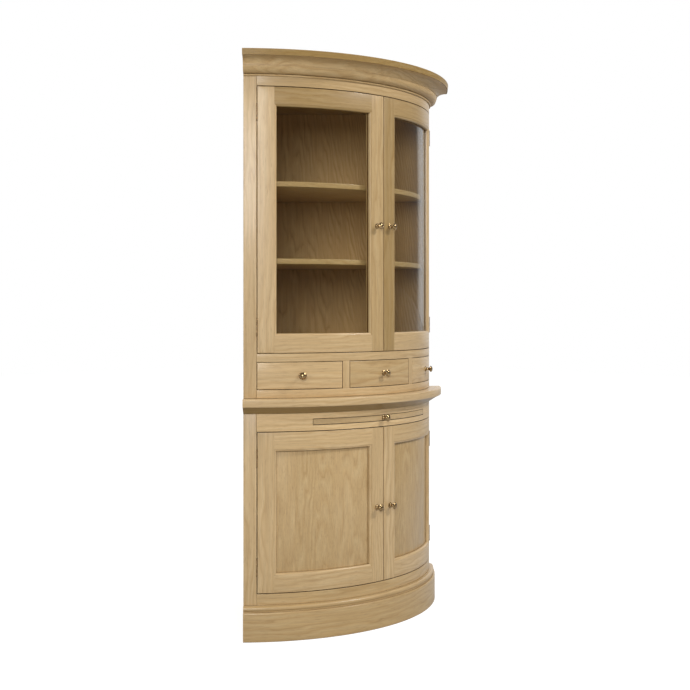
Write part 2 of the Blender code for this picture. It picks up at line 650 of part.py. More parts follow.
def door(part, side, low, high, pane, pane_thick, pane_material):
    """Bowed door: grooved frame with a moulded opening, its pane, its knob and two butt hinges."""
    side_name = "left" if side < 0 else "right"
    name = f"{part}_{side_name}_door"
    carrier = pivot(f"{name}_pivot", hinge_place(side, (low + high) / 2)[0])
    meeting = DOOR_GAP_ANGLE / 2
    hanging = OPENING_ANGLE - DOOR_GAP_ANGLE
    start, end = sorted((side * meeting, side * hanging))
    bottom = low + DOOR_GAP
    top = high - DOOR_GAP
    frame = piece(f"{name}_frame", band(INNER_RADIUS, FACE_RADIUS, bottom, top, start, end), carrier)
    member = DOOR_MEMBER / FACE_RADIUS
    sight = (start + member, end - member, bottom + DOOR_MEMBER, top - DOOR_MEMBER)
    face = FACE_RADIUS - PANE_SETBACK

    def widened(inner, outer, margin):
        """Slab that reaches past the sight of the opening on all sides."""
        turn = margin / FACE_RADIUS
        return band(inner, outer, sight[2] - margin, sight[3] + margin, sight[0] - turn, sight[1] + turn)

    groove = tool(f"{name}_groove", widened(face - pane_thick - FIT, face + FIT, GROOVE_DEPTH))
    combine(frame, "DIFFERENCE", groove, opening_cutter(f"{name}_opening", *sight))
    piece(f"{name}_{pane}", widened(face - pane_thick, face, GROOVE_DEPTH - FIT), carrier, pane_material)
    knob(f"{name}_knob", side * (meeting + member / 2), (low + high) / 2 - DOOR_KNOB_DROP, carrier)
    for end_name, z in hinge_heights(low, high).items():
        recess = hinge_recess(f"{name}_{end_name}_recess", side, z)
        combine(frame, "DIFFERENCE", recess)
        combine(bpy.data.objects[f"{part}_{side_name}_stile"], "DIFFERENCE", recess)
        axis, turn = hinge_place(side, z)
        place(f"{part}_{side_name}_{end_name}_hinge_frame_leaf", FRAME_LEAF, None, axis, turn)
        place(f"{part}_{side_name}_{end_name}_hinge_door_leaf", DOOR_LEAF, carrier, axis, turn)


def slide():
    """Board that pulls out under the waist as a shelf, with a bowed front edge and a knob."""
    carrier = pivot("slide_pivot", polar(FACE_RADIUS, 0.0, SLIDE_MIDDLE) + CORNER)
    end = asin(SLIDE_WIDTH / 2 / FACE_RADIUS)
    front = [polar(FACE_RADIUS, angle).xy for angle in stations(-end, end)]
    plan = [*front, (front[-1].x, -SLIDE_BACK), (front[0].x, -SLIDE_BACK)]
    half = SLIDE_THICK / 2
    piece("slide_board", prism(plan, SLIDE_MIDDLE - half, SLIDE_MIDDLE + half), carrier)
    knob("slide_knob", 0.0, SLIDE_MIDDLE, carrier)


FRAME_LEAF, DOOR_LEAF = leaf_meshes()
KNOB_PROFILE = knob_profile()

# Lower cupboard
base_plinth()
for part, low, high in (("base", 0.0, BASE_TOP - FIT), ("upper", WAIST_TOP + FIT, CARCASS_TOP)):
    stile(f"{part}_left_stile", -1, low, high)
    stile(f"{part}_right_stile", 1, low, high)
base_top_rail()
base_floor()
back_panels("base", 0.0, BASE_TOP - FIT, [BASE_FLOOR_TOP, BASE_SHELF_TOP])
piece("base_shelf", sector(SHELF_FRONT, BASE_SHELF_TOP - BOARD_THICK, BASE_SHELF_TOP))
waist_board()

# Upper cupboard
drawer_rail_frame()
rail("frieze_rail", UPPER_DOOR_HIGH, CARCASS_TOP)
upper_boards = {
    "drawer_board": (DRAWER_LOW, BOARD_FRONT),
    "cupboard_floor": (CUPBOARD_FLOOR_TOP, BOARD_FRONT),
    "lower_shelf": (LOWER_SHELF_TOP, SHELF_FRONT),
    "upper_shelf": (UPPER_SHELF_TOP, SHELF_FRONT),
    "roof_board": (ROOF_TOP, BOARD_FRONT),
}
for name, (top, front) in upper_boards.items():
    piece(name, sector(front, top - BOARD_THICK, top))
back_panels("upper", WAIST_TOP + FIT, CARCASS_TOP, [top for top, front in upper_boards.values()])
cornice()

# Doors, drawers and slide
for side in (-1, 1):
    door("base", side, BASE_RAIL_TOP, BASE_DOOR_HIGH, "panel", PANEL_THICK, OAK)
    door("upper", side, UPPER_DOOR_LOW, UPPER_DOOR_HIGH, "glass", GLASS_THICK, GLASS)
side_middle = (SIDE_DRAWER_START + OPENING_ANGLE) / 2
side_half = (OPENING_ANGLE - SIDE_DRAWER_START) / 2
guides = bpy.data.objects["drawer_board"]
drawer("left_drawer", -side_middle, side_half, guides)
drawer("middle_drawer", 0.0, MIDDLE_DRAWER_ANGLE, guides)
drawer("right_drawer", side_middle, side_half, guides)
slide()
weld_cuts()
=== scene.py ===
"""Looks of a bow-fronted corner dresser in waxed oak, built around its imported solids.

Curved members are made as a joiner's bent boards are: each is modelled flat, its grain is laid out on the
flat board, and it is then bent about the corner of the room in which the dresser stands. In the flat state
X runs along the face from the middle of the dresser, Y runs into it and Z is up. Lengths are metres.
"""
import logging
import math
import random
from collections.abc import Callable, Iterator, Sequence
from contextlib import contextmanager
from dataclasses import dataclass, field
from enum import Enum

import bmesh
import bpy
from mathutils import Matrix, Vector


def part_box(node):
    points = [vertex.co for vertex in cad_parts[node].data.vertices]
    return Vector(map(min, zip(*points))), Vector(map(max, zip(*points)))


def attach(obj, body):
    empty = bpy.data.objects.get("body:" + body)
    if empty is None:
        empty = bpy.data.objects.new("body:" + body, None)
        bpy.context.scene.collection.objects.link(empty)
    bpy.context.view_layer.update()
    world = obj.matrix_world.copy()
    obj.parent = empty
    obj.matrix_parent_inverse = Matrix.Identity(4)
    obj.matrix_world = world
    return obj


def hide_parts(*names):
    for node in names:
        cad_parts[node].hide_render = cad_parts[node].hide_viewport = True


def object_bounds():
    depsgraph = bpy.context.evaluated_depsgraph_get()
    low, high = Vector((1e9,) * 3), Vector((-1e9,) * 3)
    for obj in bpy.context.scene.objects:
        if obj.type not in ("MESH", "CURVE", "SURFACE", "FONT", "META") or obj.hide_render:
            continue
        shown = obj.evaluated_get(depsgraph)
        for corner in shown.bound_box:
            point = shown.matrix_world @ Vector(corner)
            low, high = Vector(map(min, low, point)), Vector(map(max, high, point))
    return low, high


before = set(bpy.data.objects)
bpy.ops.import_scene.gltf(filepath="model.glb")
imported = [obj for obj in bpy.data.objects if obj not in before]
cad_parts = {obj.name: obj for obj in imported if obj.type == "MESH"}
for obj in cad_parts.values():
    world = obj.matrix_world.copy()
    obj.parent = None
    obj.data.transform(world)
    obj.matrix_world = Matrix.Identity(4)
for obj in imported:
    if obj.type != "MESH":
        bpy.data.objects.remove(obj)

LOG = logging.getLogger("corner_dresser")
CAD_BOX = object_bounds()
SMOOTH_ANGLE = math.radians(32.0)
WELD = 0.00001
NEAR = 0.00005  # points closer than this to a place count as being there
FACING = 0.99  # a face looks along an axis if this share of its normal does
ROUND_STEPS = 480  # flats of a full circle about the room's corner
RIM_REACH = 0.003  # points this close to a round board's front edge are on it
TONE_SPREAD = (0.97, 1.03)  # least and most that chance changes a board's tone

BOARD_TONE_AND_SHADE = {  # boards that are darker or lighter than the rest: some by the wood's own tone, some as painted light and shade, noted below
    # painted shade: the downward-facing crown is darkened
    "cornice_oak": 0.56,
    "cornice_bed": 0.96,
    # partly the rails' own tone and partly painted shade under the cornice's overhang
    "upper_left_door_top_rail": 0.62,
    "upper_right_door_top_rail": 0.70,
    "upper_left_door_right_stile": 0.84,
    # partly the stile's own tone and partly painted shade that dims the right-hand side
    "upper_right_door_left_stile": 0.66,
    "middle_drawer_front_oak": 0.92,
    # painted light: lightened against the shadow under the waist's nose and for a painted sheen
    "base_top_rail_oak": 1.20,
    "base_plinth_oak": 0.86,
    "base_left_door_panel_bowed": 0.92,
    # partly the panel's own tone and partly painted shade that dims the right-hand side
    "base_right_door_panel_bowed": 0.85,
    "frieze_rail_oak": 0.88,
    # painted shade under the waist board's nose
    "waist_moulding": 0.52,
    "base_floor_oak": 0.89,
    "cupboard_floor_oak": 0.80,
    "lower_shelf_oak": 0.80,
    "upper_shelf_oak": 0.80,
    "roof_board_oak": 0.70,
}

Rect = tuple[float, float, float, float]  # start, end, lowest and highest place in the flat
Pair = tuple[float, float]
Place = tuple[float, float, float]
Piece = bpy.types.Object
Material = bpy.types.Material
Tree = bpy.types.NodeTree
Socket = bpy.types.NodeSocket


@dataclass(frozen=True)
class Trunk:
    """Limits within which chance cuts a board from its trunk, as degrees, metres or a scale."""

    arched_tilt: Pair = (4.0, 6.5)
    arched_aside: Pair = (-0.02, 0.02)
    straight_tilt: Pair = (0.3, 1.5)
    straight_aside: Pair = (0.06, 0.11)
    pith: Pair = (0.04, 0.08)
    along: Pair = (-0.6, 0.6)
    growth: Pair = (0.6, 1.2)


TRUNK = Trunk()


class Grain(Enum):
    """Way a board's fibres run: the axes across, through and along the grain, and if its rings arch."""

    LEVEL = (2, 1, 0, False)
    UPRIGHT = (0, 1, 2, False)
    ARCHED = (0, 1, 2, True)
    LYING = (1, 2, 0, False)
    OUTWARD = (0, 2, 1, False)

    def across(self, place: Vector) -> Vector:
        """Place as lengths across, through and along the grain."""
        return Vector(place[axis] for axis in self.value[:3])

    def sawing(self, middle: float, dice: random.Random) -> Matrix:
        """Where one board was cut from its trunk.

        Args:
            middle: middle of the board across its grain.
            dice: chance that belongs to the board.

        Returns:
            Matrix from the board to its trunk, whose pith runs along Z.
        """
        turn = dice.choice((-1.0, 1.0))
        if self.value[3]:
            tilt = turn * dice.uniform(*TRUNK.arched_tilt)
            aside = dice.uniform(*TRUNK.arched_aside)
        else:
            tilt = turn * dice.uniform(*TRUNK.straight_tilt)
            aside = turn * dice.uniform(*TRUNK.straight_aside)
        shift = Matrix.Translation((aside, dice.uniform(*TRUNK.pith), dice.uniform(*TRUNK.along)))
        growth = Matrix.Scale(dice.uniform(*TRUNK.growth), 4)
        centre = Matrix.Translation((-middle, 0.0, 0.0))
        return growth @ shift @ Matrix.Rotation(math.radians(tilt), 4, "X") @ centre


class Side(Enum):
    """Half of the dresser, as seen from the room."""

    LEFT = -1
    RIGHT = 1

    @property
    def word(self) -> str:
        """Word used for this half in the names of pieces."""
        return self.name.lower()


class Pane(Enum):
    """What fills a door's frame: its word in the names of pieces, and its thickness."""

    PANEL = ("panel", 0.007)
    GLASS = ("glass", 0.004)

    @property
    def word(self) -> str:
        """Word used for the pane in the names of pieces."""
        return self.value[0]

    @property
    def thick(self) -> float:
        """Thickness of the pane."""
        return self.value[1]


@dataclass(frozen=True)
class Plan:
    """Plan of the dresser: a quarter circle about the room's corner."""

    corner: float = CAD_BOX[1].y
    radius: float = CAD_BOX[1].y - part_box("frieze_rail")[0].y
    thick: float = 0.022
    stile: float = 0.045
    fit: float = 0.0003
    step: float = 0.0085  # between the cross cuts of a bent board
    back_thick: float = 0.012
    housing: float = 0.005
    wall_angle: float = math.pi / 4

    @property
    def half(self) -> float:
        """Length of the face from the middle to a wall."""
        return self.radius * self.wall_angle

    @property
    def opening(self) -> float:
        """Length of the face from the middle to a carcass stile."""
        return self.half - self.stile

    @property
    def rail_span(self) -> Pair:
        """Start and end of a rail between the carcass stiles."""
        return self.fit - self.opening, self.opening - self.fit

    @property
    def inner(self) -> float:
        """Radius of the back of the face frame."""
        return self.radius - self.thick

    @property
    def housed(self) -> float:
        """Distance from a wall to the edge of a board housed in the back panel."""
        return self.back_thick - self.housing + self.fit

    def outward(self, along: float) -> Vector:
        """Direction straight out of the bent face at a place along it."""
        angle = along / self.radius
        return Vector((math.sin(angle), -math.cos(angle), 0.0))

    def on_face(self, along: float, z: float, proud: float = 0.0) -> Vector:
        """Point of the bent face.

        Args:
            along: distance along the face from the middle.
            z: height.
            proud: distance in front of the face.

        Returns:
            The point in the dresser's frame.
        """
        return Vector((0.0, self.corner, z)) + (self.radius + proud) * self.outward(along)


PLAN = Plan()


def linear(code: str) -> tuple[float, float, float, float]:
    """Linear colour of an sRGB hex code such as #C8AF87."""
    parts = [int(code[index:index + 2], 16) / 255 for index in (1, 3, 5)]
    parts = [part / 12.92 if part <= 0.04045 else ((part + 0.055) / 1.055) ** 2.4 for part in parts]
    return (*parts, 1.0)


def per_metre(*millimetres: float) -> tuple[float, ...]:
    """Pattern scale that makes a feature of each given size, in millimetres, one unit."""
    return tuple(1000.0 / size for size in millimetres)


def add_node(tree: Tree, kind: str, inputs: dict | None = None,
             stops: Sequence[tuple[float, tuple]] = (), **settings: object) -> bpy.types.Node:
    """Add a node with its settings and links.

    Args:
        tree: node tree that gets the node.
        kind: Blender's name for the node type, without ShaderNode.
        inputs: socket values, or output sockets to link, by input name or number.
        stops: places and colours of a colour ramp.
        **settings: properties of the node.

    Returns:
        The new node.
    """
    made = tree.nodes.new(f"ShaderNode{kind}")
    for key, value in settings.items():
        setattr(made, key, value)
    for key, value in (inputs or {}).items():
        if isinstance(value, Socket):
            tree.links.new(value, made.inputs[key])
        else:
            made.inputs[key].default_value = value
    for index, (place, colour) in enumerate(stops):
        elements = made.color_ramp.elements
        element = elements[index] if index < 2 else elements.new(place)
        element.position = place
        element.color = colour
    return made


def spread(tree: Tree, value: Socket | float, source: Pair, target: Sequence[Socket | float]) -> Socket:
    """Value mapped from one range to another and held within it."""
    return add_node(tree, "MapRange", {"Value": value, "From Min": source[0], "From Max": source[1],
                                       "To Min": target[0], "To Max": target[1]}).outputs["Result"]


def blend(tree: Tree, kind: str, share: object, one: object, two: object) -> Socket:
    """Two colours mixed by a share, in one of the mix node's ways."""
    return add_node(tree, "Mix", {0: share, 6: one, 7: two}, data_type="RGBA", blend_type=kind).outputs[2]


def calculate(tree: Tree, operation: str, *values: Socket | float) -> Socket:
    """Result of one of the math node's operations on two or three values."""
    return add_node(tree, "Math", dict(enumerate(values)), operation=operation).outputs["Value"]


def layer(tree: Tree, share: Socket, one: Socket, two: Socket) -> Socket:
    """Two shaders mixed by a share."""
    return add_node(tree, "MixShader", {"Fac": share, 1: one, 2: two}).outputs["Shader"]


def new_tree(name: str) -> tuple[Material, Tree, bpy.types.Node]:
    """Empty material: the material, its node tree and its output node."""
    made = bpy.data.materials.new(name)
    made.use_nodes = True
    made.node_tree.nodes.clear()
    return made, made.node_tree, made.node_tree.nodes.new("ShaderNodeOutputMaterial")


@dataclass(frozen=True)
class Noise:
    """Noise drawn out along the grain: its size across and along it in millimetres, and its octaves."""

    across_mm: float
    along_mm: float
    octaves: float
    roughness: float = 0.55

    def add(self, tree: Tree, wood: Socket, output: str = "Fac") -> Socket:
        """Noise at a place in a board, as one of the noise node's outputs."""
        across, along = per_metre(self.across_mm, self.along_mm)
        drawn = add_node(tree, "Mapping", {"Vector": wood, "Scale": (across, across, along)})
        return add_node(tree, "TexNoise", {"Vector": drawn.outputs["Vector"], "Scale": 1.0,
                                           "Detail": self.octaves,
                                           "Roughness": self.roughness}).outputs[output]


@dataclass(frozen=True)
class OakFinish:
    """Flat-sawn oak, planed and waxed.

    The eye gets pale straw wood with broad arched growth rings on wide boards and straight ones on narrow
    ones, fine fibres and darker pores along the grain, painted shade that darkens the joints, quirks and
    other crevices, and a low sheen.
    """

    light: str = "#CDB183"
    middle: str = "#C2A373"
    dark: str = "#B59463"
    pore: str = "#8C6D45"
    # colour of the painted shade laid into joints, quirks and other crevices
    joint: str = "#55300C"
    ring_mm: float = 13.0  # true rings are 2 to 4 mm: drawn coarser so that they show
    ring_stops: tuple[float, ...] = (0.0, 0.22, 0.60, 0.92, 1.0)  # where a ring's shades lie across it
    fibres: Noise = Noise(3.2, 170.0, 3.0)
    fibre_shade: tuple[Pair, Pair] = ((0.3, 0.7), (0.89, 1.07))  # from the noise to a shade
    pores: Noise = Noise(1.3, 26.0, 1.0)  # true pores are 0.3 mm wide: drawn coarser so that they show
    pore_share: tuple[Pair, Pair] = ((0.58, 0.74), (0.0, 0.40))  # from the noise to a share
    pore_relief: Pair = (0.25, 0.0003)  # strength and depth
    cloud: Noise = Noise(28.0, 240.0, 2.0)
    cloud_share: tuple[Pair, Pair] = ((0.38, 0.62), (0.20, 0.95))  # from the noise to a share of plain wood
    drift: Noise = Noise(60.0, 300.0, 3.0)
    drift_size: float = 0.06  # how far the trunk strays from straight
    tone_depth: tuple[Pair, Pair] = ((0.5, 1.0), (1.2, 0.98))  # from a board's tone, with any painted shade, to its saturation
    start: Place = (0.02, 0.07, 0.0)  # where a board without its own grain lies in the trunk
    saw_tilt: Place = (0.0, 0.0, 0.0)
    joint_reach: float = 0.005  # how far into a crevice the painted shade begins
    joint_share: tuple[Pair, Pair] = ((0.25, 0.70), (0.92, 0.0))  # from how open a place is to the share of painted shade
    joint_samples: int = 5
    gloss: float = 0.42
    roughness: Pair = (0.42, 0.52)
    wax: float = 0.42
    wax_roughness: float = 0.22
    refraction: float = 1.5

    def material(self, name: str, turn: float | None = None) -> Material:
        """Build the finish.

        Args:
            name: name of the material.
            turn: None where the piece carries its own grain; otherwise the turn about Z that lines X up
                with the width of an upright board.

        Returns:
            The material.
        """
        made, tree, output = new_tree(name)
        if turn is None:
            # the tone attribute carries each board's own tone and, on some boards, painted light and shade
            wood = add_node(tree, "Attribute", attribute_name="grain").outputs["Vector"]
            tone = add_node(tree, "Attribute", attribute_name="tone").outputs["Fac"]
        else:
            place = add_node(tree, "TexCoord").outputs["Object"]
            wood = add_node(tree, "Mapping", {"Vector": place, "Location": self.start,
                                              "Rotation": (0.0, 0.0, turn)}).outputs["Vector"]
            tone = 1.0
        rings = self.rings(tree, wood)
        shades = (self.dark, self.middle, self.light, self.middle, self.dark)
        stops = [(place, linear(shade)) for place, shade in zip(self.ring_stops, shades)]
        colour = add_node(tree, "ValToRGB", {"Fac": rings}, stops).outputs["Color"]
        plain = spread(tree, self.cloud.add(tree, wood), *self.cloud_share)
        colour = blend(tree, "MIX", plain, colour, linear(self.middle))
        fibres = spread(tree, self.fibres.add(tree, wood), *self.fibre_shade)
        colour = blend(tree, "MULTIPLY", 1.0, colour, fibres)
        pores = spread(tree, self.pores.add(tree, wood), *self.pore_share)
        colour = blend(tree, "MIX", pores, colour, linear(self.pore))
        saturation = spread(tree, tone, *self.tone_depth)
        colour = add_node(tree, "HueSaturation", {
            "Color": colour, "Value": tone, "Saturation": saturation}).outputs["Color"]
        # painted shade: ambient occlusion darkens joints, quirks and crevices towards the painted shade
        # colour
        open_share = add_node(tree, "AmbientOcclusion", {"Distance": self.joint_reach},
                              samples=self.joint_samples)
        crevice_shade = spread(tree, open_share.outputs["AO"], *self.joint_share)
        colour = blend(tree, "MIX", crevice_shade, colour, linear(self.joint))
        relief = add_node(tree, "Bump", {"Height": pores, "Strength": self.pore_relief[0],
                                         "Distance": self.pore_relief[1]}, invert=True)
        shader = add_node(tree, "BsdfPrincipled", {
            "Base Color": colour, "Roughness": spread(tree, rings, (0.0, 1.0), self.roughness),
            "Normal": relief.outputs["Normal"], "IOR": self.refraction, "Specular IOR Level": self.gloss,
            "Coat Weight": self.wax, "Coat Roughness": self.wax_roughness})
        tree.links.new(shader.outputs["BSDF"], output.inputs["Surface"])
        return made

    def rings(self, tree: Tree, wood: Socket) -> Socket:
        """Growth rings of a slightly crooked trunk that the board's length runs along."""
        noise = self.drift.add(tree, wood, "Color")
        drift = add_node(tree, "VectorMath", {0: noise, 1: (0.5, 0.5, 0.5)}, operation="SUBTRACT")
        bent = add_node(tree, "VectorMath", {0: drift.outputs["Vector"], 2: wood,
                                             1: (self.drift_size, self.drift_size, 0.0)},
                        operation="MULTIPLY_ADD")
        trunk = add_node(tree, "Mapping", {"Vector": bent.outputs["Vector"], "Rotation": self.saw_tilt})
        wave_unit = 2 * math.pi / 20  # length of one of the wave node's rings at scale 1
        return add_node(tree, "TexWave", {
            "Vector": trunk.outputs["Vector"], "Scale": wave_unit * per_metre(self.ring_mm)[0],
            "Distortion": 0.0},
            wave_type="RINGS", rings_direction="Z", wave_profile="SAW").outputs["Fac"]


DRY_OAK = OakFinish(wax=0.06, gloss=0.20)  # high up, where no hand rubs the wax in
INNER_OAK = OakFinish(light="#C3A16E", middle="#B3905D", dark="#9B794A", wax=0.0, gloss=0.15, ring_mm=9.0,
                      drift=Noise(90.0, 420.0, 3.0), saw_tilt=(math.radians(9.0), math.radians(2.0), 0.0))


@dataclass(frozen=True)
class BrassFinish:
    """Cast brass, browned in patches and rubbed back to a warm yellow between them."""

    bright: str = "#BFA176"
    brown: str = "#76603F"
    patch_mm: float = 5.0
    patch_octaves: float = 3.0
    patch_span: Pair = (0.36, 0.64)  # noise at which the brown ends and the bright begins
    polish_span: Pair = (0.3, 0.7)  # noise at which the metal is dullest and most polished
    roughness: Pair = (0.16, 0.34)

    def material(self, name: str) -> Material:
        """Build the finish under the given name."""
        made, tree, output = new_tree(name)
        place = add_node(tree, "TexCoord").outputs["Object"]
        patch = add_node(tree, "TexNoise", {"Vector": place, "Scale": per_metre(self.patch_mm)[0],
                                            "Detail": self.patch_octaves}).outputs["Fac"]
        colour = add_node(tree, "ValToRGB", {"Fac": patch}, (
            (self.patch_span[0], linear(self.brown)), (self.patch_span[1], linear(self.bright))))
        gloss = spread(tree, patch, self.polish_span, self.roughness[::-1])
        shader = add_node(tree, "BsdfPrincipled", {
            "Base Color": colour.outputs["Color"], "Metallic": 1.0, "Roughness": gloss})
        tree.links.new(shader.outputs["BSDF"], output.inputs["Surface"])
        return made


@dataclass(frozen=True)
class GlassFinish:
    """Clear float glass, bent to the bow: nearly colourless, with soft reflections and faint waviness."""

    tint: str = "#FAFAF7"
    ripple_mm: float = 160.0
    ripple_relief: Pair = (0.05, 0.002)  # strength and depth
    straight_share: float = 0.006  # mirrored share looking straight at it
    grazing_share: float = 0.75
    falloff: float = 5.0  # power by which the grazing share fades
    roughness: float = 0.02

    def material(self, name: str) -> Material:
        """Build the finish under the given name: a thin clear sheet with a mirrored share on top."""
        made, tree, output = new_tree(name)
        place = add_node(tree, "TexCoord").outputs["Object"]
        ripple = add_node(tree, "TexNoise", {"Vector": place, "Detail": 1.0,
                                             "Scale": per_metre(self.ripple_mm)[0]}).outputs["Fac"]
        relief = add_node(tree, "Bump", {"Height": ripple, "Strength": self.ripple_relief[0],
                                         "Distance": self.ripple_relief[1]}).outputs["Normal"]
        mirror = add_node(tree, "BsdfGlossy", {"Roughness": self.roughness, "Normal": relief})
        clear = add_node(tree, "BsdfTransparent", {"Color": linear(self.tint)})
        facing = add_node(tree, "LayerWeight", {"Normal": relief}).outputs["Facing"]
        grazing = calculate(tree, "POWER", facing, self.falloff)
        share = calculate(tree, "MULTIPLY_ADD", grazing, self.grazing_share, self.straight_share)
        mixed = layer(tree, share, clear.outputs["BSDF"], mirror.outputs["BSDF"])
        tree.links.new(mixed, output.inputs["Surface"])
        return made


def start_box(name: str, low: Sequence[float], high: Sequence[float]) -> Piece:
    """Add a cube and size it to two opposite corners.

    Args:
        name: name of the new piece.
        low: lowest corner.
        high: highest corner.

    Returns:
        The new object, with its place in its mesh.
    """
    low, high = Vector(low), Vector(high)
    return new_piece(name, bpy.ops.mesh.primitive_cube_add, size=1.0, location=(low + high) / 2,
                     scale=high - low)


def settle_place(made: Piece, name: str) -> Piece:
    """Name a new piece and move its place, turn and scale into its mesh."""
    made.name = name
    made.data.name = name
    bpy.ops.object.transform_apply(location=True, rotation=True, scale=True)
    return made


def new_piece(name: str, add: Callable, **settings: object) -> Piece:
    """Piece begun from one of Blender's primitives, with its place in its mesh."""
    bpy.ops.object.select_all(action="DESELECT")
    add(**settings)
    return settle_place(bpy.context.object, name)


@contextmanager
def editing(piece: Piece, kind: str = "FACE") -> Iterator[None]:
    """Work on one piece in edit mode, with all of it selected to begin with.

    Args:
        piece: piece to work on.
        kind: what is selected there, VERT, EDGE or FACE.
    """
    bpy.ops.object.select_all(action="DESELECT")
    bpy.context.view_layer.objects.active = piece
    piece.select_set(True)
    bpy.ops.object.mode_set(mode="EDIT")
    bpy.ops.mesh.select_mode(type=kind)
    bpy.ops.mesh.select_all(action="SELECT")
    yield
    bpy.ops.object.mode_set(mode="OBJECT")


def pick_faces(piece: Piece, test: Callable[[bmesh.types.BMFace], bool]) -> None:
    """In edit mode, select only the faces that pass a test."""
    bpy.ops.mesh.select_mode(type="FACE")
    bpy.ops.mesh.select_all(action="DESELECT")
    mesh = bmesh.from_edit_mesh(piece.data)
    for face in mesh.faces:
        face.select_set(test(face))
    bmesh.update_edit_mesh(piece.data)


def ease_edges(piece: Piece, width: float, steps: int, test: Callable[[Vector, Vector], bool]) -> None:
    """Round the edges whose two ends pass a test, to a width and in a number of flats."""
    with editing(piece, "EDGE"):
        bpy.ops.mesh.select_all(action="DESELECT")
        mesh = bmesh.from_edit_mesh(piece.data)
        for edge in mesh.edges:
            edge.select_set(test(edge.verts[0].co, edge.verts[1].co))
        bmesh.update_edit_mesh(piece.data)
        bpy.ops.mesh.bevel(offset=width, segments=steps, affect="EDGES")


def cut_by_plane(place: Vector, normal: Vector, clear: bool = False) -> None:
    """In edit mode, cut the whole piece by a plane.

    Args:
        place: point on the plane.
        normal: direction across the plane.
        clear: True to remove what lies on the normal's side and close the cut.
    """
    bpy.ops.mesh.select_all(action="SELECT")
    bpy.ops.mesh.bisect(plane_co=place, plane_no=normal, use_fill=clear, clear_outer=clear)


def cut_across(along: float) -> None:
    """In edit mode, cut the whole flat piece across at a place along the face."""
    cut_by_plane(Vector((along, 0.0, 0.0)), Vector((1.0, 0.0, 0.0)))


def apply_modifier(piece: Piece, modifier: bpy.types.Modifier) -> None:
    """Apply one modifier of a piece."""
    with bpy.context.temp_override(object=piece, active_object=piece):
        bpy.ops.object.modifier_apply(modifier=modifier.name)


def level_of(node: str) -> Pair:
    """Lowest and highest place of a solid."""
    low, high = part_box(node)
    return low.z, high.z


def middle_of(node: str) -> Vector:
    """Middle of a solid's box."""
    low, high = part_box(node)
    return (low + high) / 2


def corner_disc(name: str, radius: float, level: Pair) -> Piece:
    """Level disc about the room's corner.

    Args:
        name: name of the piece.
        radius: radius of the disc.
        level: lowest and highest place.

    Returns:
        The disc.
    """
    return new_piece(name, bpy.ops.mesh.primitive_cylinder_add, vertices=ROUND_STEPS, radius=radius,
                     depth=level[1] - level[0], location=(0.0, PLAN.corner, sum(level) / 2))


def sawn_length(place: Vector, lengths: int) -> tuple[int, Matrix]:
    """Straight length of wood that a place in a bowed piece was sawn from.

    Args:
        place: place in the bowed piece.
        lengths: number of lengths that follow each other round the bow.

    Returns:
        Number of the length, and the matrix that lays it straight in front of the flat face.
    """
    share = 2 * PLAN.half / PLAN.radius / lengths
    number = math.floor(math.atan2(place.x, PLAN.corner - place.y) / share + lengths / 2)
    number = min(max(number, 0), lengths - 1)
    turn = Matrix.Rotation((lengths / 2 - number - 0.5) * share, 4, "Z")
    return number, (Matrix.Translation((0.0, PLAN.radius, 0.0)) @ turn
                    @ Matrix.Translation((0.0, -PLAN.corner, 0.0)))


def lay_grain(piece: Piece, sort: Callable[[Vector], tuple[Grain, str]], lengths: int = 0) -> None:
    """Write each corner's place in its own board, and each board's tone and painted light and shade, for the
    oak to read.

    Args:
        piece: piece in its flat state, or bowed if it was sawn.
        sort: gives the grain's direction and the name of the board for the middle of a face.
        lengths: number of straight lengths that a bowed piece was sawn from.
    """
    data = piece.data
    data.attributes.new("grain", "FLOAT_VECTOR", "CORNER")
    data.attributes.new("tone", "FLOAT", "CORNER")
    grain, tone = data.attributes["grain"].data, data.attributes["tone"].data
    boards: dict[tuple[Grain, str], dict[int, Vector]] = {}
    for face in data.polygons:
        way, board = sort(face.center)
        turn = Matrix()
        if lengths:
            number, turn = sawn_length(face.center, lengths)
            board = f"{board}_{number}"
        for corner in face.loop_indices:
            place = turn @ data.vertices[data.loops[corner].vertex_index].co
            boards.setdefault((way, board), {})[corner] = way.across(place)
    for (way, board), places in boards.items():
        dice = random.Random(board)
        reach = [place.x for place in places.values()]
        trunk = way.sawing((min(reach) + max(reach)) / 2, dice)
        # a board's random tone, times its listed tone or painted light and shade
        shade = dice.uniform(*TONE_SPREAD) * BOARD_TONE_AND_SHADE.get(board.rstrip("_0123456789"), 1.0)
        for corner, place in places.items():
            grain[corner].vector = trunk @ place
            tone[corner].value = shade


def bow(piece: Piece) -> Piece:
    """Cut a flat piece across, bend it about the room's corner and put it in its place."""
    places = [vertex.co.x for vertex in piece.data.vertices]
    low, high = min(places), max(places)
    with editing(piece):
        for cut in range(math.ceil(low / PLAN.step), math.floor(high / PLAN.step) + 1):
            if low + NEAR < cut * PLAN.step < high - NEAR:
                cut_across(cut * PLAN.step)
    bend = piece.modifiers.new("bow", "SIMPLE_DEFORM")
    bend.deform_method = "BEND"
    bend.deform_axis = "Z"
    bend.angle = (high - low) / PLAN.radius
    apply_modifier(piece, bend)
    piece.data.transform(Matrix.Translation((0.0, PLAN.corner - PLAN.radius, 0.0)))
    return piece


def carve(piece: Piece, cutter: Piece) -> None:
    """Cut a piece with another and remove the cutter."""
    cut = piece.modifiers.new("carve", "BOOLEAN")
    cut.operation = "DIFFERENCE"
    cut.solver = "EXACT"
    cut.object = cutter
    apply_modifier(piece, cut)
    bpy.data.objects.remove(cutter)


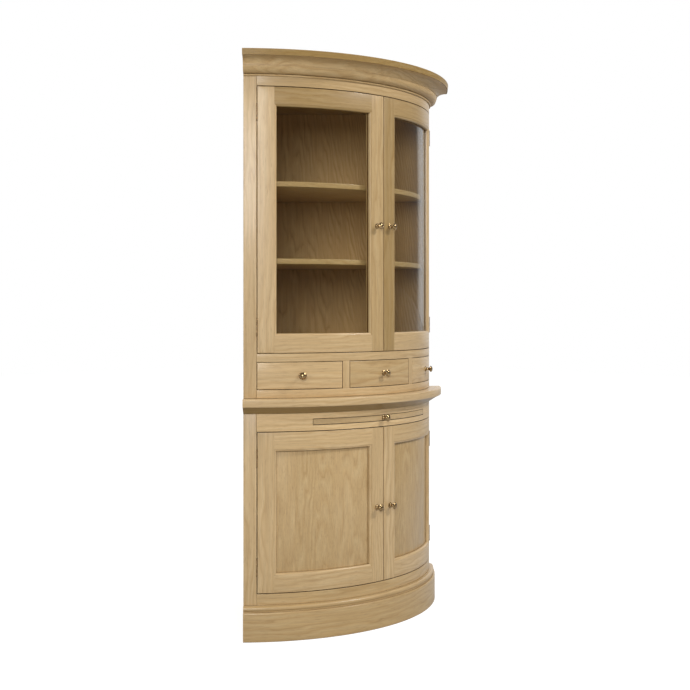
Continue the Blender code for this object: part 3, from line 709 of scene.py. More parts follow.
def join(pieces: Sequence[Piece]) -> Piece:
    """Make several pieces one object, which keeps the name of the first."""
    bpy.ops.object.select_all(action="DESELECT")
    for piece in pieces:
        piece.select_set(True)
    bpy.context.view_layer.objects.active = pieces[0]
    bpy.ops.object.join()
    return pieces[0]


def copy_to(master: Piece, name: str, place: Matrix) -> Piece:
    """Copy a piece with its own mesh.

    Args:
        master: piece that is modelled once.
        name: name of the copy.
        place: where the copy goes, from the master's own place.

    Returns:
        The copy.
    """
    bpy.ops.object.select_all(action="DESELECT")
    bpy.context.view_layer.objects.active = master
    master.select_set(True)
    bpy.ops.object.duplicate(linked=False)
    made = bpy.context.object
    made.matrix_world = place
    return settle_place(made, name)


def board(name: str, span: Pair, level: Pair, way: Grain, depth: Pair = (0.0, PLAN.thick),
          arris: float = 0.001, staves: int = 1) -> Piece:
    """Bent board with eased front edges.

    Args:
        name: name of the piece.
        span: start and end along the face.
        level: lowest and highest place.
        way: direction of the grain.
        depth: front and back, behind the face.
        arris: width of the eased edges.
        staves: upright strips that the board is glued up from.

    Returns:
        The board in its place.
    """
    made = start_box(name, (span[0], depth[0], level[0]), (span[1], depth[1], level[1]))
    width = (span[1] - span[0]) / staves
    ease_edges(made, arris, 3, lambda one, two: max(one.y, two.y) < depth[0] + NEAR)
    with editing(made):
        for index in range(1, staves):
            cut_across(span[0] + index * width)
    if staves == 1:
        lay_grain(made, lambda place: (way, name))
    else:
        lay_grain(made, lambda place: (way, f"{name}_{int((place.x - span[0]) / width)}"))
    return bow(made)


def moulding(name: str, section: Sequence[Pair], lengths: int = 0) -> Piece:
    """Moulding that runs round the whole bow, from wall to wall.

    Args:
        name: name of the piece.
        section: outline of (distance in front of the face, height) points.
        lengths: number of straight lengths that it was sawn from, or 0 if it was bent.

    Returns:
        The moulding in its place.
    """
    made = new_piece(name, bpy.ops.mesh.primitive_circle_add, vertices=len(section), fill_type="NGON")
    for vertex, (proud, z) in zip(made.data.vertices, section):
        vertex.co = (-PLAN.half, -proud, z)
    with editing(made):
        bpy.ops.mesh.extrude_region_move(TRANSFORM_OT_translate={"value": (2 * PLAN.half, 0.0, 0.0)})
        bpy.ops.mesh.select_all(action="SELECT")
        bpy.ops.mesh.normals_make_consistent(inside=False)
    if not lengths:
        lay_grain(made, lambda place: (Grain.LEVEL, name))
    bow(made)
    if lengths:
        lay_grain(made, lambda place: (Grain.LEVEL, name), lengths)
    return made


def quarter_board(name: str, level: Pair, front: float, inset: float = PLAN.housed,
                  arris: float = 0.0015) -> Piece:
    """Quarter-round board that fills the corner.

    Args:
        name: name of the piece.
        level: lowest and highest place.
        front: radius of its front edge.
        inset: distance from the walls to its straight edges.
        arris: width of its eased front edges.

    Returns:
        The board in its place.
    """
    corner = Vector((0.0, PLAN.corner, 0.0))
    made = corner_disc(name, front, level)
    with editing(made):
        for side in Side:
            away = Matrix.Rotation(side.value * PLAN.wall_angle, 3, "Z") @ Vector((side.value, 0.0, 0.0))
            cut_by_plane(corner - away * inset, away, clear=True)
    rim = front - RIM_REACH
    ease_edges(made, arris, 3, lambda one, two: abs(one.z - two.z) < NEAR and min(
        (one.xy - corner.xy).length, (two.xy - corner.xy).length) > rim)
    lay_grain(made, lambda place: (Grain.LYING, name))
    return made


def curve(centre: Pair, size: Pair, start: float, end: float, steps: int = 8) -> list[Pair]:
    """Points of an elliptical arc in a section.

    Args:
        centre: centre of the arc.
        size: its two radii.
        start: first angle in degrees.
        end: last angle in degrees.
        steps: number of flats.

    Returns:
        The points from start to end.
    """
    turns = [math.radians(start + (end - start) * step / steps) for step in range(steps + 1)]
    return [(centre[0] + size[0] * math.cos(turn), centre[1] + size[1] * math.sin(turn)) for turn in turns]


@dataclass
class Workshop:
    """Finishes shared by all the sub-assemblies, and the last step that every piece goes through."""

    oak: Material
    dry_oak: Material
    brass: Material
    glass: Material

    def finish(self, piece: Piece, slot: str, body: str, *nodes: str) -> Piece:
        """Clean, shade and dress a piece, and let it ride on its body.

        Args:
            piece: piece in its place.
            slot: oak, brass or glass.
            body: body that carries it.
            *nodes: solids that it stands for.

        Returns:
            The piece.
        """
        with editing(piece):
            bpy.ops.mesh.remove_doubles(threshold=WELD)
            bpy.ops.mesh.normals_make_consistent(inside=False)
        bpy.ops.object.shade_smooth_by_angle(angle=SMOOTH_ANGLE)
        piece.data.materials.clear()
        piece.data.materials.append(getattr(self, slot))
        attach(piece, body)
        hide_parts(*nodes)
        LOG.info("%s rides on %s with %d faces", piece.name, body, len(piece.data.polygons))
        return piece


@dataclass
class Hardware:
    """Turned knobs and butt hinges, each modelled once and copied."""

    shop: Workshop
    knob_length: float = 0.0273
    knob_base: float = 0.0095
    knob_neck: float = 0.0044
    knob_head: float = 0.0126
    knob_steps: int = 40
    hinge_length: float = 0.060
    hinge_reach: float = 0.018
    hinge_proud: float = 0.0004
    leaf: float = 0.001
    knuckle: float = 0.0022
    knuckle_steps: int = 28
    notch: float = 0.0004  # clearance round the knuckles
    pin: float = 0.0011
    pin_proud: float = 0.001
    door_gap: float = 0.0025
    masters: dict[str, Piece] = field(default_factory=dict)

    def __post_init__(self) -> None:
        """Model the masters."""
        self.masters["knob"] = self.knob_master()
        half, split = self.hinge_length / 2, self.hinge_length / 6
        gap = PLAN.fit / 2
        self.masters["frame_leaf"] = self.leaf_master(-1, [(-half, -split - gap), (split + gap, half)])
        self.masters["door_leaf"] = self.leaf_master(1, [(-split + gap, split - gap)])

    def knob_master(self) -> Piece:
        """Mushroom knob, turned about Z from its seat up."""
        head, neck, base, length = self.knob_head, self.knob_neck, self.knob_base, self.knob_length
        # every number below is a share of the knob's base, neck, head or length
        section = [(0.0, 0.0), (base, 0.0), (base, 0.06 * length)]
        section += curve((0.86 * base, 0.06 * length), (0.14 * base, 0.05 * length), 0.0, 90.0, steps=3)
        section += [(1.35 * neck, 0.17 * length), (1.1 * neck, 0.26 * length), (neck, 0.40 * length)]
        section += [(1.15 * neck, 0.53 * length), (0.70 * head, 0.645 * length)]
        section += curve((0.72 * head, 0.765 * length), (0.28 * head, 0.05 * length), -60.0, 40.0, steps=5)
        section += curve((0.0, 0.66 * length), (0.965 * head, 0.34 * length), 27.0, 90.0)
        made = new_piece("knob_master", bpy.ops.mesh.primitive_plane_add, size=base)
        with editing(made, "VERT"):
            bpy.ops.mesh.merge(type="CENTER")
            for before, after in zip(section, section[1:]):
                step = (after[0] - before[0], 0.0, after[1] - before[1])
                bpy.ops.mesh.extrude_region_move(TRANSFORM_OT_translate={"value": step})
            bpy.ops.mesh.select_all(action="SELECT")
            bpy.ops.mesh.spin(steps=self.knob_steps, angle=2 * math.pi, center=(0.0, 0.0, 0.0),
                              axis=(0.0, 0.0, 1.0))
        return made

    def barrel(self, radius: float, low: float, high: float, ease: float) -> Piece:
        """Upright cylinder on the pin's axis with eased ends."""
        made = new_piece("hinge_barrel", bpy.ops.mesh.primitive_cylinder_add, vertices=self.knuckle_steps,
                         radius=radius, depth=high - low, location=(0.0, 0.0, (low + high) / 2))
        ease_edges(made, ease, 2, lambda one, two: abs(one.z - two.z) < NEAR)
        return made

    def leaf_master(self, side: int, spans: Sequence[Pair]) -> Piece:
        """Leaf of a hinge about its pin, which stands on Z; the leaf lies along Y.

        Args:
            side: -1 for the leaf on the carcass, with two knuckles, and 1 for the door's, with the pin.
            spans: levels of its knuckles.

        Returns:
            The leaf.
        """
        ends = sorted((side * self.door_gap / 2, side * (self.door_gap / 2 + self.leaf)))
        half = self.hinge_length / 2
        plate = start_box("hinge_leaf", (ends[0], self.knuckle, -half), (ends[1], self.hinge_reach, half))
        ease_edges(plate, self.leaf / 4, 2, lambda one, two: min(one.y, two.y) > self.hinge_reach - NEAR)
        pieces = [plate]
        for low, high in spans:
            pieces.append(self.barrel(self.knuckle, low, high, self.leaf / 4))
            tab = start_box("hinge_tab", (ends[0], 0.0, low + self.leaf / 5),
                            (ends[1], self.knuckle, high - self.leaf / 5))
            ease_edges(tab, self.leaf / 5, 1, lambda one, two: max(one.y, two.y) < NEAR)
            pieces.append(tab)
        if side > 0:
            reach = half + self.pin_proud
            pieces.append(self.barrel(self.pin, -reach, reach, self.pin / 3))
        return join(pieces)

    def knob(self, node: str, body: str) -> None:
        """Put a knob where the solid is, facing straight out of the face."""
        middle = middle_of(node)
        out = Vector((middle.x, middle.y - PLAN.corner, 0.0)).normalized()
        angle = math.atan2(out.x, -out.y)
        seat = PLAN.on_face(angle * PLAN.radius, middle.z, PLAN.fit)
        turn = Matrix.Rotation(angle, 4, "Z") @ Matrix.Rotation(math.pi / 2, 4, "X")
        made = copy_to(self.masters["knob"], f"{node}_turned", Matrix.Translation(seat) @ turn)
        self.shop.finish(made, "brass", body, node)

    def pin_place(self, side: Side, z: float) -> Matrix:
        """Place and turn of a hinge beside a door."""
        along = side.value * (PLAN.opening - self.door_gap / 2)
        seat = PLAN.on_face(along, z, self.hinge_proud)
        return Matrix.Translation(seat) @ Matrix.Rotation(along / PLAN.radius, 4, "Z")

    def recess(self, side: Side, z: float) -> Piece:
        """Cutter for the mortise of a hinge."""
        notch = self.knuckle + self.notch
        rise = self.hinge_length / 2 + self.pin_proud + PLAN.fit
        made = start_box("hinge_recess", (-notch, -2 * self.knuckle, -rise),
                         (notch, self.hinge_reach + PLAN.fit, rise))
        made.data.transform(self.pin_place(side, z))
        return made

    def hinge(self, part: str, side: Side, end: str) -> None:
        """Put both leaves of a hinge where their solids are."""
        name = f"{part}_{side.word}_{end}_hinge"
        flip = Matrix.Rotation(0.0 if side is Side.LEFT else math.pi, 4, "Y")
        place = self.pin_place(side, middle_of(f"{name}_frame_leaf").z) @ flip
        for leaf, body in (("frame_leaf", "carcass"), ("door_leaf", f"{part}_{side.word}_door")):
            made = copy_to(self.masters[leaf], f"{name}_{leaf}_brass", place)
            self.shop.finish(made, "brass", body, f"{name}_{leaf}")

    def clear_masters(self) -> None:
        """Remove the masters once everything is copied."""
        for master in self.masters.values():
            bpy.data.objects.remove(master)


@dataclass
class Carcass:
    """Fixed woodwork: face frame, plinth, waist, cornice, boards and backs."""

    shop: Workshop
    hardware: Hardware
    body: str = "carcass"
    plinth_projection: float = 0.022
    plinth_face: float = 0.092
    plinth_slope: Pair = (0.003, 0.006)
    plinth_quirk: Pair = (0.002, 0.003)
    plinth_bead: float = 0.018
    plinth_bead_start: float = -50.0  # in degrees: where the bead's round begins above the quirk
    plinth_arris: float = 0.001
    waist_projection: float = 0.046
    waist_arris: float = 0.004
    waist_lipping: float = 0.030  # solid edging, behind the face
    waist_moulding: Pair = (0.040, 0.024)
    waist_moulding_foot: float = 0.002
    cornice_bead: Pair = (0.003, 0.0075)
    cornice_ovolo: Pair = (0.026, 0.026)
    cornice_ovolo_start: float = -78.0  # in degrees: where the ovolo's round leaves the bead
    cornice_quirk: Pair = (0.0015, 0.0015)
    cornice_cove: Pair = (0.0375, 0.024)
    cornice_lip: float = 0.004
    cornice_lean: float = 0.002
    cornice_arris: float = 0.002
    cornice_lid: Pair = (0.050, 0.010)
    cornice_lengths: int = 2  # straight lengths of wood that it is sawn from
    drawer_gap: float = 0.0018
    slot_clearance: float = 0.0018
    slot_reach: float = 0.069  # how far the slot's cutter stands in front of the face
    base_rail_thick: float = 0.030
    floor_thick: float = 0.018
    floor_drop: float = 0.001  # the floor's top lies this far below its rail's
    runner_lap: float = 0.008  # how far a runner's groove holds the slide's edge
    runner_wall: float = 0.0115
    runner_cheek: float = 0.011
    runner_tenon: float = 0.006
    runner_arris: float = 0.001

    def build(self) -> None:
        """Build and dress every fixed piece."""
        self.build_stiles()
        self.build_frieze()
        self.build_drawer_rails()
        self.build_slide_rail()
        self.build_base_floor()
        self.build_plinth()
        self.build_waist()
        self.build_cornice()
        for node in ("base_shelf", "cupboard_floor", "lower_shelf", "upper_shelf", "roof_board"):
            made = quarter_board(f"{node}_oak", level_of(node), PLAN.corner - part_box(node)[0].y)
            self.shop.finish(made, "oak", self.body, node)
        self.dress_solids()

    def build_stiles(self) -> None:
        """Four upright members against the walls, mortised for the hinges."""
        for part in ("base", "upper"):
            for side in Side:
                node = f"{part}_{side.word}_stile"
                span = sorted((side.value * PLAN.opening, side.value * PLAN.half))
                made = board(f"{node}_oak", span, level_of(node), Grain.UPRIGHT)
                for end in ("top", "bottom"):
                    leaf = middle_of(f"{part}_{side.word}_{end}_hinge_frame_leaf")
                    carve(made, self.hardware.recess(side, leaf.z))
                self.shop.finish(made, "oak", self.body, node)

    def build_frieze(self) -> None:
        """Rail over the glazed doors."""
        made = board("frieze_rail_oak", PLAN.rail_span, level_of("frieze_rail"), Grain.LEVEL)
        self.shop.finish(made, "oak", self.body, "frieze_rail")

    def build_drawer_rails(self) -> None:
        """Rails above and below the drawers, with the two dividers between them."""
        low, high = level_of("drawer_rail_frame")
        front_low, front_high = level_of("middle_drawer_front")
        opening = (front_low - self.drawer_gap, front_high + self.drawer_gap)
        rails = [board("drawer_rail_frame_oak", PLAN.rail_span, (low, opening[0]), Grain.LEVEL),
                 board("upper_drawer_rail", PLAN.rail_span, (opening[1], high), Grain.LEVEL)]
        for side in Side:
            inner = abs(Drawer.face_span("middle_drawer_front")[1]) + self.drawer_gap
            outer = min(abs(place) for place in Drawer.face_span(f"{side.word}_drawer_front"))
            span = sorted((side.value * inner, side.value * (outer - self.drawer_gap)))
            rails.append(board(f"{side.word}_drawer_divider", span, opening, Grain.UPRIGHT))
        self.shop.finish(join(rails), "oak", self.body, "drawer_rail_frame")

    def build_slide_rail(self) -> None:
        """Rail over the panelled doors, slotted for the slide, with the slide's grooved runners."""
        slide_low, slide_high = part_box("slide_board")
        made = board("base_top_rail_oak", PLAN.rail_span, level_of("base_top_rail"), Grain.LEVEL)
        room = Vector((self.slot_clearance, 0.0, self.slot_clearance))
        slot_low = slide_low - room
        slot_high = slide_high + room
        slot_low.y = PLAN.corner - PLAN.radius - self.slot_reach
        slot_high.y = PLAN.corner - PLAN.inner * math.cos(PLAN.wall_angle)
        carve(made, start_box("slide_slot", slot_low, slot_high))
        runners = [self.slide_runner(side, slide_low, slide_high) for side in Side]
        self.shop.finish(join([made, *runners]), "oak", self.body, "base_top_rail")

    def slide_runner(self, side: Side, low: Vector, high: Vector) -> Piece:
        """Runner with a groove for one edge of the slide.

        Args:
            side: half of the dresser in which it lies.
            low: lowest corner of the slide.
            high: highest corner of the slide.

        Returns:
            The runner in its place.
        """
        inner, outer = high.x - self.runner_lap, high.x + self.runner_wall
        back = PLAN.corner - outer - (PLAN.back_thick + PLAN.fit) / math.sin(PLAN.wall_angle)
        front = PLAN.corner - math.sqrt(PLAN.inner**2 - inner**2) - self.runner_tenon
        across = sorted((side.value * inner, side.value * outer))
        made = start_box(f"{side.word}_slide_runner", (across[0], front, low.z - self.runner_cheek),
                         (across[1], back, high.z + self.runner_cheek))
        ease_edges(made, self.runner_arris, 2,
                   lambda one, two: abs(one.x - two.x) + abs(one.z - two.z) < NEAR)
        room = Vector((PLAN.fit, PLAN.radius, PLAN.fit))
        carve(made, start_box("slide_groove", low - room, high + room))
        lay_grain(made, lambda place: (Grain.OUTWARD, made.name))
        return made

    def build_base_floor(self) -> None:
        """Floor of the lower cupboard and the rail that carries it."""
        level = level_of("base_floor")
        depth = self.base_rail_thick
        rail = board("base_floor_oak", PLAN.rail_span, level, Grain.LEVEL, (0.0, depth))
        top = level[1] - self.floor_drop
        floor = quarter_board("base_floor_board", (top - self.floor_thick, top), PLAN.radius - depth)
        self.shop.finish(join([rail, floor]), "oak", self.body, "base_floor")

    def build_plinth(self) -> None:
        """Skirting with an eased edge, a quirk and a bead on top."""
        top = level_of("base_plinth")[1]
        slope_depth, slope_height = self.plinth_slope
        face, back = self.plinth_projection, PLAN.fit
        shoulder = face - slope_depth
        slope_top = self.plinth_face + slope_height
        quirk = shoulder - self.plinth_quirk[0]
        bead = self.plinth_bead / 2
        bead_middle = slope_top + self.plinth_quirk[1] + bead
        quirk_floor = quirk - bead * (1 - math.cos(math.radians(self.plinth_bead_start)))
        section = [(back, 0.0), (face - self.plinth_arris, 0.0), (face, self.plinth_arris)]
        section += curve((shoulder, self.plinth_face), self.plinth_slope, 0.0, 90.0, steps=10)
        section += [(quirk_floor, slope_top)]
        section += curve((quirk - bead, bead_middle), (bead, bead), self.plinth_bead_start, 90.0)
        section += [(quirk - bead, top), (back, top)]
        made = moulding("base_plinth_oak", section)
        self.shop.finish(made, "oak", self.body, "base_plinth")

    def build_waist(self) -> None:
        """Board between the two parts with a solid rounded nose and a sloped moulding under it."""
        foot, top = level_of("waist_board")
        moulding_depth, moulding_height = self.waist_moulding
        low = foot + moulding_height
        nose, arris, back = self.waist_projection, self.waist_arris, -self.waist_lipping
        section = [(back, low), *curve((nose - arris, low + arris), (arris, arris), -90.0, 0.0, steps=5)]
        section += [*curve((nose - arris, top - arris), (arris, arris), 0.0, 90.0, steps=5), (back, top)]
        lipping = moulding("waist_board_oak", section)
        section = [(PLAN.fit, low), (PLAN.fit, foot), (self.waist_moulding_foot, foot), (moulding_depth, low)]
        under = moulding("waist_moulding", section)
        inner = quarter_board("waist_inner_board", (low, top), PLAN.radius - self.waist_lipping, 0.0)
        self.shop.finish(join([lipping, under, inner]), "oak", self.body, "waist_board")

    def build_cornice(self) -> None:
        """Crown: bead, ovolo, quirk, cove, lip and leaning fascia, with a lid over the carcass."""
        low, high = level_of("cornice")
        bead_depth, bead_height = self.cornice_bead
        quirk_depth, quirk_height = self.cornice_quirk
        cove_depth, cove_height = self.cornice_cove
        ovolo_depth, ovolo_height = self.cornice_ovolo
        ovolo_top = low + bead_height + ovolo_height
        quirk = bead_depth + ovolo_depth + quirk_depth
        cove_low = ovolo_top + quirk_height
        cove_top = cove_low + cove_height
        lip = quirk + cove_depth + self.cornice_lip
        face = lip + self.cornice_lean
        section = [(PLAN.fit, low)]
        section += curve((bead_depth, low + bead_height / 2), (bead_depth, bead_height / 2), -90.0, 90.0)
        section += curve((bead_depth, ovolo_top), self.cornice_ovolo, self.cornice_ovolo_start, 0.0, steps=12)
        section += [(quirk, ovolo_top)]
        section += curve((quirk + cove_depth, cove_low), self.cornice_cove, 180.0, 90.0, steps=14)
        section += [(PLAN.fit, cove_top)]
        bed = moulding("cornice_bed", section, self.cornice_lengths)
        section = [(PLAN.fit, cove_top), (lip, cove_top)]
        section += [(face, high - self.cornice_arris), (face - self.cornice_arris, high)]
        lid_depth, lid_height = self.cornice_lid
        section += [(-lid_depth, high), (-lid_depth, high - lid_height), (PLAN.fit, high - lid_height)]
        crown = moulding("cornice_oak", section, self.cornice_lengths)
        made = self.shop.finish(join([crown, bed]), "oak", self.body, "cornice")
        made.data.materials[0] = self.shop.dry_oak

    def dress_solids(self) -> None:
        """Give the solids whose shape stays the browner wood of the inside."""
        walls = {side: INNER_OAK.material(f"waxed_oak_{side.word}_back", -side.value * PLAN.wall_angle)
                 for side in Side}
        level = INNER_OAK.material("waxed_oak_board", 0.0)
        for part in ("base", "upper"):
            for side in Side:
                self.dress(f"{part}_{side.word}_back", walls[side])
        self.dress("drawer_board", level)
        for drawer in ("left", "middle", "right"):
            self.dress(f"{drawer}_drawer_box", level)

    @staticmethod
    def dress(node: str, material: Material) -> None:
        """Give a solid a material."""
        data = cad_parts[node].data
        data.materials.clear()
        data.materials.append(material)
        LOG.info("%s dressed in %s", node, material.name)


@dataclass
class Door:
    """Bowed door: a moulded frame round a panel or a pane of glass."""

    shop: Workshop
    hardware: Hardware
    part: str
    side: Side
    pane: Pane
    gap: float = 0.0025
    member: float = 0.066
    stick: Pair = (0.008, 0.007)
    quirk: float = 0.0012
    setback: float = 0.0125
    groove: float = 0.009
    arris: float = 0.0012
    pane_arris: float = 0.0005
    staves: int = 5

    @property
    def name(self) -> str:
        """Name of the door and of its body."""
        return f"{self.part}_{self.side.word}_door"

    def outline(self) -> Rect:
        """Start, end, lowest and highest place of the door in the flat."""
        span = sorted((self.side.value * self.gap / 2, self.side.value * (PLAN.opening - self.gap)))
        return (*span, *level_of(f"{self.name}_frame"))

    def pane_depth(self) -> Pair:
        """Front and back of the pane, behind the face."""
        return self.setback, self.setback + self.pane.thick

    def build(self) -> None:
        """Build and dress the door."""
        self.build_frame()
        self.build_pane()
        self.hardware.knob(f"{self.name}_knob", self.name)
        for end in ("top", "bottom"):
            self.hardware.hinge(self.part, self.side, end)

    def inset(self, margin: float) -> Rect:
        """Outline of the door drawn in by a margin on all sides."""
        start, end, low, high = self.outline()
        return start + margin, end - margin, low + margin, high - margin

    def section(self) -> list[Pair]:
        """Margin and depth of each line of the opening, from the face to the back."""
        width, depth = self.stick
        front, back = self.pane_depth()
        outer = self.member - width
        lines = [(outer, 0.0), (outer + self.quirk / 4, self.quirk)]
        lines += [(outer + place[0], place[1]) for place in curve(
            (self.quirk / 2, depth), (width - self.quirk / 2, depth - self.quirk), -90.0, 0.0, steps=7)]
        lines += [(self.member, front - PLAN.fit), (self.member - self.groove, front - PLAN.fit)]
        lines += [(self.member - self.groove, back + PLAN.fit), (self.member, back + PLAN.fit)]
        return lines + [(self.member, PLAN.thick)]

    def draw_in(self, rect: Rect, target: Rect, push: float) -> None:
        """In edit mode, extrude the selected rectangle to another size and depth.

        Args:
            rect: its present outline.
            target: the outline it gets.
            push: how far it moves into the door.
        """
        bpy.ops.mesh.extrude_region_move(TRANSFORM_OT_translate={"value": (0.0, push, 0.0)})
        width, height = rect[1] - rect[0], rect[3] - rect[2]
        scale = ((target[1] - target[0]) / width, 1.0, (target[3] - target[2]) / height)
        middle = ((rect[0] + rect[1]) / 2, 0.0, (rect[2] + rect[3]) / 2)
        bpy.ops.transform.resize(value=scale, center_override=middle)

    def sort_member(self, place: Vector) -> tuple[Grain, str]:
        """Board that a place on the door's frame belongs to: stiles run through, rails lie between them."""
        start, end, low, high = self.inset(self.member - self.stick[0])
        across = min(place.x - start, end - place.x)
        up = min(place.z - low, high - place.z)
        hinge = "left" if place.x < (start + end) / 2 else "right"
        level = "bottom" if place.z < (low + high) / 2 else "top"
        if across < max(0.0, min(up, self.member)):
            return Grain.UPRIGHT, f"{self.name}_{hinge}_stile"
        return Grain.LEVEL, f"{self.name}_{level}_rail"

    def build_frame(self) -> None:
        """Frame with a moulded and grooved opening and mortises for its hinges."""
        start, end, low, high = self.outline()
        node = f"{self.name}_frame"
        made = start_box(f"{node}_oak", (start, 0.0, low), (end, PLAN.thick, high))
        ease_edges(made, self.arris, 3, lambda one, two: max(one.y, two.y) < NEAR)
        with editing(made):
            pick_faces(made, lambda face: face.normal.y < -FACING)
            rect, depth = self.inset(self.arris), 0.0
            for margin, line in self.section():
                target = self.inset(margin)
                self.draw_in(rect, target, line - depth)
                rect, depth = target, line
            bpy.ops.mesh.delete(type="FACE")
            pick_faces(made, lambda face: face.normal.y > FACING
                       and face.calc_center_median().y > PLAN.thick - NEAR)
            self.draw_in(self.inset(0.0), self.inset(self.member), 0.0)
            bpy.ops.mesh.delete(type="FACE")
            bpy.ops.mesh.select_all(action="SELECT")
            bpy.ops.mesh.remove_doubles(threshold=WELD)
            for shoulder in self.inset(self.member - self.stick[0])[:2]:
                cut_across(shoulder)
        lay_grain(made, self.sort_member)
        bow(made)
        for place in ("top", "bottom"):
            leaf = middle_of(f"{self.part}_{self.side.word}_{place}_hinge_door_leaf")
            carve(made, self.hardware.recess(self.side, leaf.z))
        self.shop.finish(made, "oak", self.name, node)

    def build_pane(self) -> None:
        """Panel or glass, let into the frame's groove."""
        node = f"{self.name}_{self.pane.word}"
        start, end, low, high = self.inset(self.member - self.groove + PLAN.fit)
        staves = self.staves if self.pane is Pane.PANEL else 1
        made = board(f"{node}_bowed", (start, end), (low, high), Grain.ARCHED, self.pane_depth(),
                     self.pane_arris, staves)
        slot = "oak" if self.pane is Pane.PANEL else "glass"
        self.shop.finish(made, slot, self.name, node)


@dataclass
class Drawer:
    """Bowed drawer: a moulded front before a tapered box, which is the solid itself."""

    shop: Workshop
    hardware: Hardware
    name: str
    arris: float = 0.0018
    thick: float = 0.020

    @staticmethod
    def face_span(node: str) -> Pair:
        """Start and end of a solid's face along the dresser's face."""
        places = [vertex.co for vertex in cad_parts[node].data.vertices]
        angles = [math.atan2(place.x, PLAN.corner - place.y) for place in places]
        return min(angles) * PLAN.radius, max(angles) * PLAN.radius

    def build(self) -> None:
        """Build and dress the drawer."""
        node = f"{self.name}_front"
        made = board(f"{node}_oak", self.face_span(node), level_of(node), Grain.LEVEL, (0.0, self.thick),
                     self.arris)
        self.shop.finish(made, "oak", self.name, node)
        self.hardware.knob(f"{self.name}_knob", self.name)


@dataclass
class PullOut:
    """Slide that pulls out under the waist as a shelf."""

    shop: Workshop
    hardware: Hardware
    arris: float = 0.0015

    def build(self) -> None:
        """Build and dress the slide."""
        low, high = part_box("slide_board")
        made = corner_disc("slide_board_oak", PLAN.radius, level_of("slide_board"))
        with editing(made):
            for edge, normal in ((low, (-1.0, 0.0, 0.0)), (high, (1.0, 0.0, 0.0)), (high, (0.0, 1.0, 0.0))):
                cut_by_plane(edge, Vector(normal), clear=True)
        ease_edges(made, self.arris, 3, lambda one, two: abs(one.z - two.z) < NEAR)
        lay_grain(made, lambda place: (Grain.LYING, "slide_board"))
        self.shop.finish(made, "oak", "slide", "slide_board")
        self.hardware.knob("slide_knob", "slide")


@dataclass(frozen=True)
class Lamp:
    """Soft box that faces the middle of the dresser, of a width and height in metres and a power in watts."""

    name: str
    place: Place
    size: Pair
    power: float

    def add(self) -> None:
        """Add the lamp to the scene."""
        data = bpy.data.lights.new(self.name, "AREA")
        data.shape = "RECTANGLE"
        data.size, data.size_y = self.size
        data.energy = self.power
        made = bpy.data.objects.new(self.name, data)
        made.location = self.place
        aim = (CAD_BOX[0] + CAD_BOX[1]) / 2 - Vector(self.place)
        made.rotation_euler = aim.to_track_quat("-Z", "Y").to_euler()
        bpy.context.scene.collection.objects.link(made)


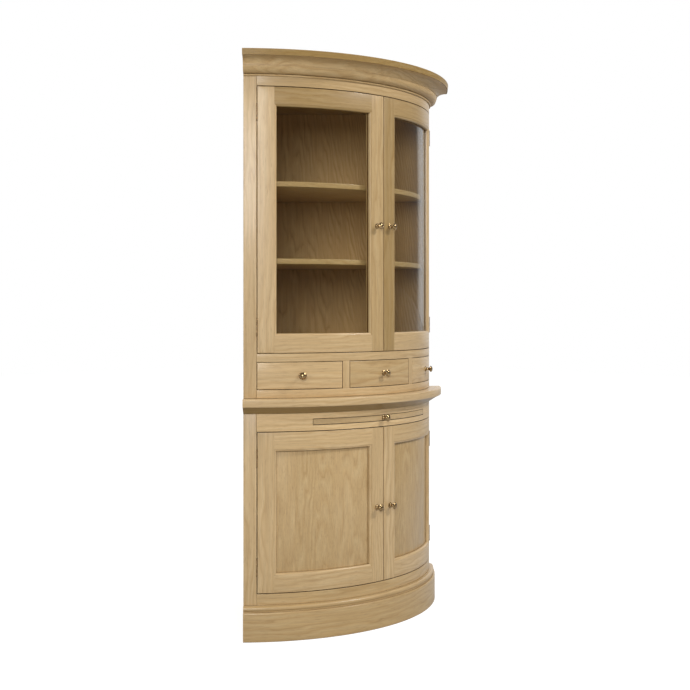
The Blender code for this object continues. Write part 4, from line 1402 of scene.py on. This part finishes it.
@dataclass
class Studio:
    """White room with soft light from both sides, and the camera at the photograph's angle."""

    eye: Place = (-3.27758, -3.26814, 1.1317)
    heading: float = math.radians(-46.117)
    lens: float = 64.545
    rise: float = -0.0538
    window: Lamp = Lamp("window", (-4.1, -3.6, 2.5), (1.9, 1.9), 127.0)
    key: Lamp = Lamp("key", (2.4, -3.9, 4.5), (0.7, 0.7), 152.0)
    room_light: float = 0.57
    room_mirrored: float = 0.22  # how light the room is for metal, glass and wax
    backdrop: float = 1.0
    backdrop_edge: Pair = (0.08, 0.16)  # share of inward at which it begins and is full
    floor_size: float = 30.0
    floor_colour: str = "#FAFAFA"
    floor_bounce: str = "#9A9A9A"  # how light the floor is for the dresser above it
    floor_mirrored: float = 0.35  # share of its white that metal, glass and wax mirror
    floor_glow: float = 0.60  # share of the floor's white that no shadow takes away
    glow_strength: float = 1.25

    def build(self) -> None:
        """Add the camera, the lamps, the world and the floor."""
        bpy.context.scene.view_settings.view_transform = "Standard"
        self.add_camera()
        for lamp in (self.window, self.key):
            lamp.add()
        self.add_world()
        self.add_floor()

    def add_camera(self) -> None:
        """Camera level with the middle of the dresser."""
        data = bpy.data.cameras.new("camera")
        data.lens = self.lens
        data.shift_y = self.rise
        made = bpy.data.objects.new("camera", data)
        made.location = self.eye
        made.rotation_euler = (math.pi / 2, 0.0, self.heading)
        bpy.context.scene.collection.objects.link(made)
        bpy.context.scene.camera = made

    def add_world(self) -> None:
        """Room in front of a lighter backdrop, full white where it is seen."""
        world = bpy.data.worlds.new("white_room")
        world.use_nodes = True
        tree = world.node_tree
        tree.nodes.clear()
        seen = self.seen_rays(tree)
        way = add_node(tree, "TexCoord").outputs["Generated"]
        inward = add_node(tree, "SeparateXYZ", {"Vector": way}).outputs["Y"]
        room = spread(tree, self.mirrored_rays(tree), (0.0, 1.0), (self.room_light, self.room_mirrored))
        level = spread(tree, inward, self.backdrop_edge, (room, self.backdrop))
        shade = add_node(tree, "Background", {"Color": linear("#FFFFFF"), "Strength": level})
        white = add_node(tree, "Background", {"Color": linear("#FFFFFF"), "Strength": 1.0})
        mixed = layer(tree, seen, shade.outputs["Background"], white.outputs["Background"])
        add_node(tree, "OutputWorld", {"Surface": mixed})
        bpy.context.scene.world = world

    @staticmethod
    def seen_rays(tree: Tree) -> Socket:
        """Socket that is 1 for what the camera sees directly or through glass."""
        rays = add_node(tree, "LightPath").outputs
        return calculate(tree, "MAXIMUM", rays["Is Camera Ray"], rays["Is Transmission Ray"])

    @staticmethod
    def mirrored_rays(tree: Tree) -> Socket:
        """Socket that is 1 for what metal, glass and wax mirror."""
        return add_node(tree, "LightPath").outputs["Is Glossy Ray"]

    def add_floor(self) -> None:
        """Pale floor that keeps a soft shadow of the dresser."""
        floor = new_piece("floor", bpy.ops.mesh.primitive_plane_add, size=self.floor_size)
        made, tree, output = new_tree("painted_studio_floor")
        seen = self.seen_rays(tree)
        mirrored = calculate(tree, "MULTIPLY", self.mirrored_rays(tree), self.floor_mirrored)
        shown = calculate(tree, "MAXIMUM", seen, mirrored)
        colour = blend(tree, "MIX", shown, linear(self.floor_bounce), linear(self.floor_colour))
        paint = add_node(tree, "BsdfDiffuse", {"Color": colour})
        glow = add_node(tree, "Emission", {"Color": linear("#FFFFFF"), "Strength": self.glow_strength})
        share = calculate(tree, "MULTIPLY", seen, self.floor_glow)
        mixed = layer(tree, share, paint.outputs["BSDF"], glow.outputs["Emission"])
        tree.links.new(mixed, output.inputs["Surface"])
        floor.data.materials.append(made)


def main() -> None:
    """Build the dresser's looks in order."""
    logging.basicConfig(level=logging.INFO, format="%(name)s: %(message)s")
    shop = Workshop(OakFinish().material("waxed_oak"), DRY_OAK.material("dry_oak"),
                    BrassFinish().material("antique_brass"), GlassFinish().material("clear_glass"))
    hardware = Hardware(shop)
    Carcass(shop, hardware).build()
    for side in Side:
        Door(shop, hardware, "base", side, Pane.PANEL).build()
        Door(shop, hardware, "upper", side, Pane.GLASS).build()
    for name in ("left_drawer", "middle_drawer", "right_drawer"):
        Drawer(shop, hardware, name).build()
    PullOut(shop, hardware).build()
    hardware.clear_masters()
    Studio().build()


if __name__ == "__main__":
    main()
